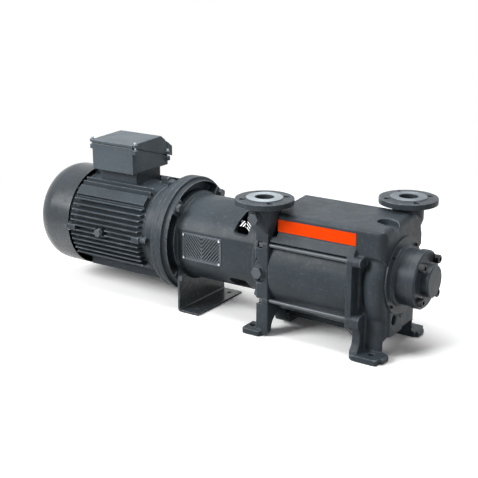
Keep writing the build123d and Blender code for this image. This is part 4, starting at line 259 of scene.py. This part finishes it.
def moulded(name, base, rough, grain, depth, shine=0.5):
    """Moulded plastic, rubber or varnish: dull, with a fine spark-eroded grain."""
    material, tree = start_material(name)
    where = add(tree, "ShaderNodeTexCoord").outputs["Object"]
    colour = mix(tree, noise(tree, where, 18.0, 4.0), linear(base[0]), linear(base[1]))
    height = noise(tree, where, grain, 2.0)
    finish_material(tree, colour, rough, bumped(tree, height, depth), Specular_IOR_Level=shine)
    return material


# Pebbly grain of 2.6 mm and edges pale from wear and a painted highlight: reads as a rough iron
# casting under thick paint
cast_enamel = enamel("anthracite enamel, sprayed on sand-cast iron", ("#333A3F", "#3B4248"),
                     "#98A1A8", 2.6, 0.50, 0.38, curved=True)
# Smooth with a little orange peel and a clear highlight: reads as pressed sheet
sheet_enamel = enamel("anthracite enamel, sprayed on pressed steel sheet", ("#2B3136", "#31383D"),
                      "#858E94", 3.5, 0.05, 0.24, 0.0015, shine=0.45)
# Finer than the iron, and a touch lighter as painted light: the light on the box's faces is painted
# into its colour
box_enamel_with_painted_light = enamel("anthracite enamel, sprayed on die-cast aluminium", ("#4B545A", "#535C62"),
                    "#A4ADB3", 2.0, 0.10, 0.38, 0.0016, curved=True)
# Nearly smooth: covers and machined faces look turned beside the rough castings
turned_cover = enamel("anthracite enamel, sprayed on turned iron", ("#3A4147", "#41484E"),
                      "#848D93", 1.6, 0.09, 0.34, 0.0014)
# Pale rings round the mouth: thin paint, made paler still by a painted highlight of the light from
# above
drive_face_highlit = turned_enamel("enamel on a turned flange face, painted lighter", ("#9AA3A9", "#858E95"),
                           1.2, DRIVE_FLANGE)
# The same rings without the painted highlight, so this face stays darker
free_face = turned_enamel("enamel on a turned flange face", ("#6B7379", "#5F676D"),
                          1.2, FREE_FLANGE)
# Even saturated orange with a satin look and next to no texture: a printed film
orange_film = moulded("orange film, printed and satin", ("#FF4A00", "#FA4500"), 0.45, 2.5,
                      0.00003, 0.1)
# Near black with soft oily highlights: high-strength socket screws
black_oxide = plated("black oxide steel, oiled", ("#16181A", "#1D1F22", "#4C5054"), 0.36,
                     metal=0.55)
# Bright silver specks: small screws left unpainted
zinc = plated("zinc-plated steel, bright", ("#B9BEC2", "#9EA4A9", "#E3E6E8"), 0.30)
# Grey of the castings with a slight metal edge: bolts sprayed along with the unit
painted_zinc = plated("zinc-plated steel under thin enamel", ("#3D444A", "#474F55", "#9AA2A8"),
                      0.38, metal=0.1)
# Mid grey and dull, lighter on the bars' edges from wear and a painted highlight: the guards stand
# out from the dark openings
guard_steel = plated("galvanised sheet, perforated", ("#4C5359", "#565E64", "#8E969B"), 0.42,
                     metal=0.2)
# Clean bright steel: shafts, rings, balls and the other turned inner parts
ground = plated("ground bearing steel", ("#A9ADB1", "#94989C", "#D5D8DA"), 0.26)
# Dark dull grey: coupling halves and port plates
machined_iron = plated("machined grey iron", ("#5A5C5F", "#66686B", "#8F9295"), 0.45, metal=0.8)
# Warm brown metal: marks the impeller as bronze
tin_bronze = plated("cast tin bronze", ("#8A6536", "#9B7443", "#C9A46C"), 0.42)
# Pale soft metal: the rotor's cage
die_cast = plated("die-cast aluminium", ("#B9BCBF", "#A6A9AC", "#D8DBDD"), 0.40)
# Even black with a faint sheen: lapped seal faces
carbon = moulded("carbon graphite, lapped", ("#141516", "#1B1C1D"), 0.45, 0.8, 0.00002)
# Dull black without a highlight: spider and gasket
rubber = moulded("nitrile rubber, moulded", ("#101112", "#17181A"), 0.62, 1.0, 0.00005)
# Glossy red-brown with a coarse wound relief: windings
varnish = moulded("varnished copper wire", ("#6B3416", "#7D4220"), 0.35, 1.6, 0.0004)
# Black with a fine matt grain: fan and blanking plugs
polyamide = moulded("black polyamide, moulded", ("#121315", "#1A1B1D"), 0.5, 0.9, 0.00005)
# Flat brown board: terminal board
phenolic = moulded("phenolic board", ("#57402B", "#634A33"), 0.55, 1.5, 0.00004)

NODE_FINISH = {
    "central_body": cast_enamel, "bearing_housing": turned_cover, "bearing_cover": turned_cover,
    "support_bracket": sheet_enamel, "fan_cowl": sheet_enamel, "rear_end_shield": cast_enamel,
    "drive_bearing_cover": turned_cover, "tie_rods": painted_zinc, "tie_rod_nuts": painted_zinc,
    "cover_screws": black_oxide, "housing_screws": black_oxide, "drive_cover_screws": black_oxide,
    "lid_screws": painted_zinc, "bare_plate": orange_film, "impeller": tin_bronze,
    "seal_seats": carbon,
    "coupling_spider": rubber, "stator_windings": varnish, "rotor_cage": die_cast,
    "motor_fan": polyamide,
    "terminal_gasket": rubber, "terminal_board": phenolic, "blanking_plugs": polyamide,
    "drive_end_port_plate": machined_iron, "free_end_port_plate": machined_iron,
    "pump_coupling_hub": machined_iron, "motor_coupling_hub": machined_iron,
    "flange_bolts": painted_zinc, "flange_nuts": painted_zinc, "bell_bolts": painted_zinc,
    "end_shield_bolts": painted_zinc, "earth_screw": painted_zinc, "cowl_screws": painted_zinc,
    "casing_plugs": painted_zinc, "guard_screws": zinc,
    "front_guard": guard_steel, "back_guard": guard_steel,
}


def paint(obj, material):
    obj.data.materials.clear()
    obj.data.materials.append(material)


for node_name, node_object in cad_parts.items():
    paint(node_object, NODE_FINISH.get(node_name, ground))


def new_object(name, data):
    obj = bpy.data.objects.new(name, data)
    bpy.context.scene.collection.objects.link(obj)
    return obj


def baked(obj):
    """Applies the object's modifiers and leaves a plain mesh."""
    bpy.context.view_layer.update()
    graph = bpy.context.evaluated_depsgraph_get()
    mesh = bpy.data.meshes.new_from_object(obj.evaluated_get(graph))
    obj.modifiers.clear()
    obj.data = mesh
    return obj


def settle(obj, body, material=None, replaced=(), angle=35.0):
    """Gives a finished piece its material, shading and body, and hides the nodes it stands for."""
    if material:
        paint(obj, material)
    obj.data.shade_smooth()
    obj.data.set_sharp_from_angle(angle=math.radians(angle))
    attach(obj, body)
    if replaced:
        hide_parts(*replaced)
    return obj


def welded(mesh):
    """The mesh opened for editing, with its doubled corners joined."""
    work = bmesh.new()
    work.from_mesh(mesh)
    bmesh.ops.remove_doubles(work, verts=work.verts, dist=WELD)
    return work


def rounded_casting(node, voxel, passes, keep, material):
    """A node's own shape with the soft edges and fillets that casting leaves."""
    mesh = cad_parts[node].data.copy()
    work = welded(mesh)
    work.to_mesh(mesh)
    work.free()
    obj = new_object(node + "_casting", mesh)
    skin = obj.modifiers.new("skin", "REMESH")
    skin.mode = "VOXEL"
    skin.voxel_size = voxel
    skin.use_smooth_shade = True
    soft = obj.modifiers.new("soft edges", "SMOOTH")
    soft.factor = 0.5
    soft.iterations = passes
    thin = obj.modifiers.new("fewer faces", "DECIMATE")
    thin.ratio = keep
    return settle(baked(obj), UNIT, material, [node], 50.0)


def solids_of(node):
    """Lowest and highest corner of each separate solid of a CAD node."""
    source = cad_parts[node]
    work = welded(source.data)
    seen, corners = set(), []
    for start in work.verts:
        if start in seen:
            continue
        seen.add(start)
        waiting, found = [start], []
        while waiting:
            vert = waiting.pop()
            found.append(source.matrix_world @ vert.co)
            near = {edge.other_vert(vert) for edge in vert.link_edges} - seen
            seen |= near
            waiting += near
        low = Vector([min(p[k] for p in found) for k in range(3)])
        high = Vector([max(p[k] for p in found) for k in range(3)])
        corners.append((low, high))
    work.free()
    return corners


def geometry_tree(name, given):
    """An empty tree that takes places and the named inputs, and the group input's sockets."""
    tree = bpy.data.node_groups.new(name, "GeometryNodeTree")
    new_socket = tree.interface.new_socket
    new_socket(name="Result", in_out="OUTPUT", socket_type="NodeSocketGeometry")
    new_socket(name="Places", in_out="INPUT", socket_type="NodeSocketGeometry")
    for label, kind in given.items():
        new_socket(name=label, in_out="INPUT", socket_type="NodeSocket" + kind)
    return tree, add(tree, "NodeGroupInput").outputs


def vector(tree, x=0.0, y=0.0, z=0.0):
    return add(tree, "ShaderNodeCombineXYZ", {"X": x, "Y": y, "Z": z}).outputs["Vector"]


def moved(tree, shape, offset, turn=None):
    inputs = {"Geometry": shape, "Translation": offset}
    if turn:
        inputs["Rotation"] = turn
    return add(tree, "GeometryNodeTransform", inputs).outputs["Geometry"]


def drum(tree, sides, radius, depth, height):
    """A prism or cylinder of this depth, whose middle is at height."""
    shape = add(tree, "GeometryNodeMeshCylinder",
                {"Vertices": sides, "Radius": radius, "Depth": depth})
    return moved(tree, shape.outputs["Mesh"], vector(tree, z=height))


def joined(tree, *shapes):
    node = add(tree, "GeometryNodeJoinGeometry")
    for shape in shapes:
        tree.links.new(shape, node.inputs["Geometry"])
    return node.outputs["Geometry"]


def cut(tree, operation, first, *others):
    node = add(tree, "GeometryNodeMeshBoolean", operation=operation, solver="EXACT")
    if operation == "DIFFERENCE":
        tree.links.new(first, node.inputs["Mesh 1"])
    else:
        tree.links.new(first, node.inputs["Mesh 2"])
    for other in others:
        tree.links.new(other, node.inputs["Mesh 2"])
    return node.outputs["Mesh"]


def on_places(tree, given, shape):
    """Stands the shape on every place, turned to its facing and scaled to its size."""
    facing = add(tree, "GeometryNodeInputNamedAttribute", {"Name": "facing"},
                 data_type="FLOAT_VECTOR")
    size = add(tree, "GeometryNodeInputNamedAttribute", {"Name": "size"}, data_type="FLOAT")
    turn = add(tree, "FunctionNodeAlignRotationToVector",
               {"Vector": facing.outputs["Attribute"]}, axis="Z")
    placed = add(tree, "GeometryNodeInstanceOnPoints",
                 {"Points": given["Places"], "Instance": shape,
                  "Rotation": turn.outputs["Rotation"], "Scale": size.outputs["Attribute"]})
    whole = add(tree, "GeometryNodeRealizeInstances", {"Geometry": placed.outputs["Instances"]})
    done = add(tree, "GeometryNodeSetMaterial",
               {"Geometry": whole.outputs["Geometry"], "Material": given["Finish"]})
    add(tree, "NodeGroupOutput", {"Result": done.outputs["Geometry"]})


def chamfer_cone(tree, sides, radius, height, crown, slope):
    """The cone that takes the corners off a head of this radius and height."""
    top = maths(tree, "MULTIPLY", radius, crown)
    bottom = maths(tree, "ADD", top, maths(tree, "MULTIPLY", height, slope))
    inputs = {"Vertices": sides, "Radius Top": top, "Radius Bottom": bottom, "Depth": height}
    return add(tree, "GeometryNodeMeshCone", inputs).outputs["Mesh"]


def shank_of(tree, given):
    return drum(tree, SHANK_SIDES, 1.0, given["Shank"],
                maths(tree, "MULTIPLY", given["Shank"], -0.5))


def hex_head_tree():
    """Chamfered hexagon head on a washer face, for a thread of radius 1."""
    tree, given = geometry_tree("hex_heads", {
        "Across corners": "Float", "Height": "Float", "Washer": "Float",
        "Washer height": "Float", "Shank": "Float", "Finish": "Material"})
    corner, height, lift = given["Across corners"], given["Height"], given["Washer height"]
    prism = drum(tree, 6, corner, height, maths(tree, "MULTIPLY", height, 0.5))
    cone = chamfer_cone(tree, ROUND_SIDES, corner, height, HEX_CROWN, HEX_SLOPE)
    head = moved(tree, cut(tree, "INTERSECT", prism, cone), vector(tree, z=lift))
    washer = drum(tree, ROUND_SIDES, given["Washer"], lift, maths(tree, "MULTIPLY", lift, 0.5))
    on_places(tree, given, joined(tree, head, washer, shank_of(tree, given)))
    return tree


def cap_head_tree():
    """Knurled cylinder head with a rounded rim and a hexagon socket, for a thread of radius 1."""
    tree, given = geometry_tree("cap_heads", {
        "Head": "Float", "Height": "Float", "Socket": "Float",
        "Knurl": "Float", "Shank": "Float", "Finish": "Material"})
    radius, height = given["Head"], given["Height"]
    barrel = drum(tree, KNURL_SIDES, radius, height, maths(tree, "MULTIPLY", height, 0.5))
    odd = maths(tree, "MODULO", add(tree, "GeometryNodeInputIndex").outputs["Index"], 2.0)
    share = maths(tree, "SUBTRACT", 1.0, maths(tree, "MULTIPLY", odd, given["Knurl"]))
    where = add(tree, "GeometryNodeInputPosition").outputs["Position"]
    scaled = add(tree, "ShaderNodeVectorMath", {0: where, 1: vector(tree, share, share, 1.0)},
                 operation="MULTIPLY")
    ribbed = add(tree, "GeometryNodeSetPosition",
                 {"Geometry": barrel, "Position": scaled.outputs["Vector"]})
    cone = chamfer_cone(tree, RIM_SIDES, radius, height, CAP_CROWN, CAP_SLOPE)
    head = cut(tree, "INTERSECT", ribbed.outputs["Geometry"], cone)
    socket = drum(tree, 6, given["Socket"], height, height)
    head = cut(tree, "DIFFERENCE", head, socket)
    on_places(tree, given, joined(tree, head, shank_of(tree, given)))
    return tree


def guard_tree():
    """Sheet with leaning bars in its window, left half one way and right half the other."""
    tree, given = geometry_tree("leaning_bars", {
        "Size": "Vector", "Window": "Vector", "Bar": "Float", "Pitch": "Float",
        "Sheet": "Float", "Lean": "Float", "Finish": "Material"})
    size = add(tree, "ShaderNodeSeparateXYZ", {"Vector": given["Size"]}).outputs
    window = add(tree, "ShaderNodeSeparateXYZ", {"Vector": given["Window"]}).outputs
    sheet = given["Sheet"]

    def plate(wide, high, thick, middle=None):
        box = add(tree, "GeometryNodeMeshCube", {"Size": vector(tree, wide, high, thick)})
        return moved(tree, box.outputs["Mesh"], middle) if middle else box.outputs["Mesh"]

    half = maths(tree, "MULTIPLY", window["X"], 0.5)
    reach = maths(tree, "ADD", window["X"], window["Y"])
    count = maths(tree, "DIVIDE", reach, given["Pitch"])
    start = maths(tree, "MULTIPLY", reach, -0.5)
    row = add(tree, "GeometryNodeMeshLine", {"Count": count, "Start Location": vector(tree, start),
                                             "Offset": vector(tree, given["Pitch"])})
    bar = plate(given["Bar"], maths(tree, "MULTIPLY", window["Y"], 2.0), sheet)
    bar = moved(tree, bar, vector(tree), vector(tree, z=given["Lean"]))
    leaning = add(tree, "GeometryNodeInstanceOnPoints",
                  {"Points": row.outputs["Mesh"], "Instance": bar})
    bars = add(tree, "GeometryNodeRealizeInstances", {"Geometry": leaning.outputs["Instances"]})
    thick = maths(tree, "MULTIPLY", sheet, 2.0)
    middle = vector(tree, maths(tree, "MULTIPLY", half, -0.5))
    left = cut(tree, "INTERSECT", bars.outputs["Geometry"], plate(half, window["Y"], thick, middle))
    right = add(tree, "GeometryNodeTransform", {"Geometry": left, "Scale": (-1.0, 1.0, 1.0)})
    right = add(tree, "GeometryNodeFlipFaces", {"Mesh": right.outputs["Geometry"]}).outputs["Mesh"]
    rim = cut(tree, "DIFFERENCE", plate(size["X"], size["Y"], sheet),
              plate(window["X"], window["Y"], thick))
    post = plate(given["Bar"], window["Y"], sheet)
    lift = vector(tree, z=maths(tree, "MULTIPLY", sheet, 0.5))
    on_places(tree, given, moved(tree, joined(tree, rim, post, left, right), lift))
    return tree


def grown(name, tree, places, settings, node, angle=35.0):
    """Runs a geometry tree over places, each (point, facing, size), and settles what it makes."""
    mesh = bpy.data.meshes.new(name)
    mesh.from_pydata([point for point, facing, size in places], [], [])
    mesh.attributes.new("facing", "FLOAT_VECTOR", "POINT")
    mesh.attributes.new("size", "FLOAT", "POINT")
    for i, (point, facing, size) in enumerate(places):
        mesh.attributes["facing"].data[i].vector = facing
        mesh.attributes["size"].data[i].value = size
    obj = new_object(name, mesh)
    modifier = obj.modifiers.new("grown", "NODES")
    modifier.node_group = tree
    for item in tree.interface.items_tree:
        if item.in_out == "INPUT" and item.name in settings:
            modifier[item.identifier] = settings[item.name]
    return settle(baked(obj), UNIT, None, [node], angle)


def screws(node, axis, side, radius, kind, finish, shank=2.0, ratio=1.3):
    """Heads for all the screws of a node. side is 1 or -1 along the axis, or 0 for outwards from
    their common middle. shank and ratio are lengths of shank and head over the radius."""
    places = []
    solids = solids_of(node)
    middle = sum((low[axis] + high[axis] for low, high in solids), 0.0) / (2 * len(solids))
    for low, high in solids:
        centre = (low + high) / 2
        out = side or (1.0 if centre[axis] > middle else -1.0)
        point, facing = centre.copy(), Vector()
        point[axis] = (high if out > 0 else low)[axis] - out * ratio * radius
        facing[axis] = out
        places.append((point, facing, radius))
    if kind == "hex":
        tree = HEX_HEADS
        settings = {"Across corners": HEX_ACROSS_CORNERS, "Height": ratio - WASHER_HEIGHT,
                    "Washer": WASHER_R, "Washer height": WASHER_HEIGHT}
    else:
        tree = CAP_HEADS
        settings = {"Head": CAP_HEAD_R, "Height": ratio, "Socket": SOCKET_R, "Knurl": KNURL_DEPTH}
    settings.update({"Shank": shank, "Finish": finish})
    return grown(node + "_heads", tree, places, settings, node, HEAD_SHARP_ANGLE)


def lathe(name, profile, centre, axis, body, material, steps):
    """A closed ring turned from (along, radius) points round an axis through centre."""
    first, second = [v for v in ((1, 0, 0), (0, 1, 0), (0, 0, 1)) if v != axis]
    work = bmesh.new()
    along = Vector(axis)
    rows = []
    for i in range(steps):
        turn = 2 * math.pi * i / steps
        out = Vector(first) * math.cos(turn) + Vector(second) * math.sin(turn)
        rows.append([work.verts.new(Vector(centre) + along * a + out * r) for a, r in profile])
    for i in range(steps):
        here, there = rows[i], rows[(i + 1) % steps]
        for k in range(len(profile)):
            after = (k + 1) % len(profile)
            work.faces.new((here[k], here[after], there[after], there[k]))
    bmesh.ops.recalc_face_normals(work, faces=work.faces)
    mesh = bpy.data.meshes.new(name)
    work.to_mesh(mesh)
    work.free()
    return settle(new_object(name, mesh), body, material, angle=30.0)


def raised_face(name, place, material):
    """Turned sealing face of a flange, with its gramophone grooves."""
    inner, outer = MOUTH_R + 0.0002, RAISED_R + 0.0001
    profile = [(-FACE_ROOT, inner), (-FACE_SHOULDER, inner), (FACE_LIFT, MOUTH_R + 0.0011)]
    radius = MOUTH_R + MARGIN_IN
    while radius < RAISED_R - MARGIN_OUT:
        profile += [(FACE_LIFT, radius), (GROOVE_FLOOR, radius + GROOVE_HALF),
                    (FACE_LIFT, radius + 2 * GROOVE_HALF)]
        radius += GROOVE_PITCH
    profile += [(FACE_LIFT, RAISED_R - 0.0012), (-FACE_SHOULDER, outer), (-FACE_ROOT, outer)]
    return lathe(name, profile, (*place, FLANGE_TOP), (0, 0, 1), UNIT, material, 128)


# Castings: node, voxel, passes of smoothing, share of faces kept, material
for row in (
        ("free_end_casing", 0.0020, 6, 0.30, cast_enamel),
        ("drive_end_casing", 0.0018, 6, 0.30, cast_enamel),
        ("bell_housing", 0.0020, 5, 0.30, cast_enamel),
        ("central_body", 0.0022, 4, 0.30, cast_enamel),
        ("motor_flange_shield", 0.0018, 5, 0.30, cast_enamel),
        ("motor_frame", 0.0016, 2, 0.22, cast_enamel),
        ("terminal_box", 0.0013, 4, 0.35, box_enamel_with_painted_light),
        ("terminal_lid", 0.0013, 4, 0.35, box_enamel_with_painted_light)):
    rounded_casting(*row)

raised_face("drive_raised_face", DRIVE_FLANGE, drive_face_highlit)
raised_face("free_raised_face", FREE_FLANGE, free_face)

# Screws: node, axis (0 is X), side, thread radius, kind, finish, then shank and head ratio
HEX_HEADS, CAP_HEADS = hex_head_tree(), cap_head_tree()
for row in (
        ("casing_plugs", 1, 0, 0.010, "hex", painted_zinc),
        ("tie_rod_nuts", 0, -1, 0.006, "hex", painted_zinc, 0.5, 1.6),
        ("bell_bolts", 0, -1, 0.006, "hex", painted_zinc, 5.0),
        ("flange_bolts", 0, 1, 0.008, "hex", painted_zinc, 8.0),
        ("flange_nuts", 0, -1, 0.008, "hex", painted_zinc, 0.5, 1.6),
        ("end_shield_bolts", 0, 0, 0.005, "hex", painted_zinc, 3.0),
        ("earth_screw", 1, -1, 0.0075, "hex", painted_zinc),
        ("blanking_plugs", 0, -1, 0.008, "hex", polyamide),
        ("cover_screws", 0, 1, 0.008, "cap", black_oxide, 5.0, 2.0),
        ("housing_screws", 0, 1, 0.003, "cap", black_oxide, 6.0, 2.0),
        ("drive_cover_screws", 0, -1, 0.003, "cap", black_oxide, 8.0, 2.0),
        ("lid_screws", 2, 1, 0.003, "cap", zinc, 7.0, 2.0),
        ("guard_screws", 1, 0, 0.0025, "cap", zinc, 2.0, 1.3),
        ("cowl_screws", 1, 0, 0.003, "hex", painted_zinc)):
    screws(*row)

LEANING_BARS = guard_tree()
for guard, side in (("front_guard", -1.0), ("back_guard", 1.0)):
    seat = (GUARD_MIDDLE[0], side * (GUARD_FACE - GUARD_SEAT), GUARD_MIDDLE[1])
    grown(guard + "_mesh", LEANING_BARS, [(seat, (0.0, side, 0.0), 1.0)],
          {"Size": (*GUARD_SIZE, 0.0), "Window": (*GUARD_WINDOW, 0.0), "Bar": GUARD_BAR,
           "Pitch": GUARD_PITCH, "Sheet": GUARD_SHEET, "Lean": math.radians(GUARD_LEAN),
           "Finish": guard_steel}, guard)


# Floor, backdrop, lamps, world and camera
def studio_rays(tree):
    """1 for the rays that show the studio itself: seen directly, mirrored or through glass."""
    rays = add(tree, "ShaderNodeLightPath").outputs
    mirrored = maths(tree, "MAXIMUM", rays["Is Glossy Ray"], rays["Is Transmission Ray"])
    return maths(tree, "MAXIMUM", rays["Is Camera Ray"], mirrored)


def stage():
    """Pale floor. It keeps the shadow near the pump and fades to white further out."""
    mesh = bpy.data.meshes.new("floor")
    corners = [(x * FLOOR_REACH, y * FLOOR_REACH, FLOOR_Z)
               for x, y in ((-1, -1), (1, -1), (1, 1), (-1, 1))]
    mesh.from_pydata(corners, [], [(0, 1, 2, 3)])
    floor = new_object("floor", mesh)
    material, tree = start_material("pale studio floor")
    seen = studio_rays(tree)
    bounce = mix(tree, seen, linear(FLOOR_BOUNCE), FLOOR_SEEN)
    lit = add(tree, "ShaderNodeBsdfDiffuse", {"Color": bounce}).outputs["BSDF"]
    white = add(tree, "ShaderNodeEmission", {"Color": WHITE, "Strength": 1.0}).outputs["Emission"]
    where = add(tree, "ShaderNodeNewGeometry").outputs["Position"]
    away = add(tree, "ShaderNodeVectorMath", {0: where, 1: MIDDLE}, operation="DISTANCE")
    faded = ramp(tree, away.outputs["Value"], SHADOW_FULL, SHADOW_GONE)
    share = maths(tree, "MULTIPLY", seen, faded)
    both = add(tree, "ShaderNodeMixShader", {"Fac": share, 1: lit, 2: white})
    add(tree, "ShaderNodeOutputMaterial", {"Surface": both.outputs["Shader"]})
    paint(floor, material)


def world_light(strength):
    """Even sky, white where it is seen or mirrored."""
    world = bpy.data.worlds.new("studio")
    bpy.context.scene.world = world
    world.use_nodes = True
    tree = world.node_tree
    tree.nodes.clear()
    level = ramp(tree, studio_rays(tree), 0.0, 1.0, strength, 1.0)
    sky = add(tree, "ShaderNodeBackground", {"Color": WHITE, "Strength": level})
    add(tree, "ShaderNodeOutputWorld", {"Surface": sky.outputs["Background"]})


def soft_box(name, place, target, size, watts):
    lamp = bpy.data.lights.new(name, "AREA")
    lamp.shape = "SQUARE"
    lamp.size = size
    lamp.energy = watts
    obj = new_object(name, lamp)
    obj.location = place
    obj.rotation_euler = (Vector(target) - Vector(place)).to_track_quat("-Z", "Y").to_euler()


def camera():
    """The photograph's view: eye, aim and lens fitted to its ellipses and straight edges."""
    data = bpy.data.cameras.new("camera")
    data.sensor_width = SENSOR
    data.lens = LENS
    data.clip_end = CLIP_END
    obj = new_object("camera", data)
    obj.location = EYE
    obj.rotation_euler = (Vector(AIM) - Vector(EYE)).to_track_quat("-Z", "Y").to_euler()
    bpy.context.scene.camera = obj


stage()
world_light(SKY_STRENGTH)
for lamp_name, lamp_place, lamp_size, lamp_watts in LAMPS:
    soft_box(lamp_name, lamp_place, MIDDLE, lamp_size, lamp_watts)
camera()
bpy.context.scene.view_settings.view_transform = "Standard"
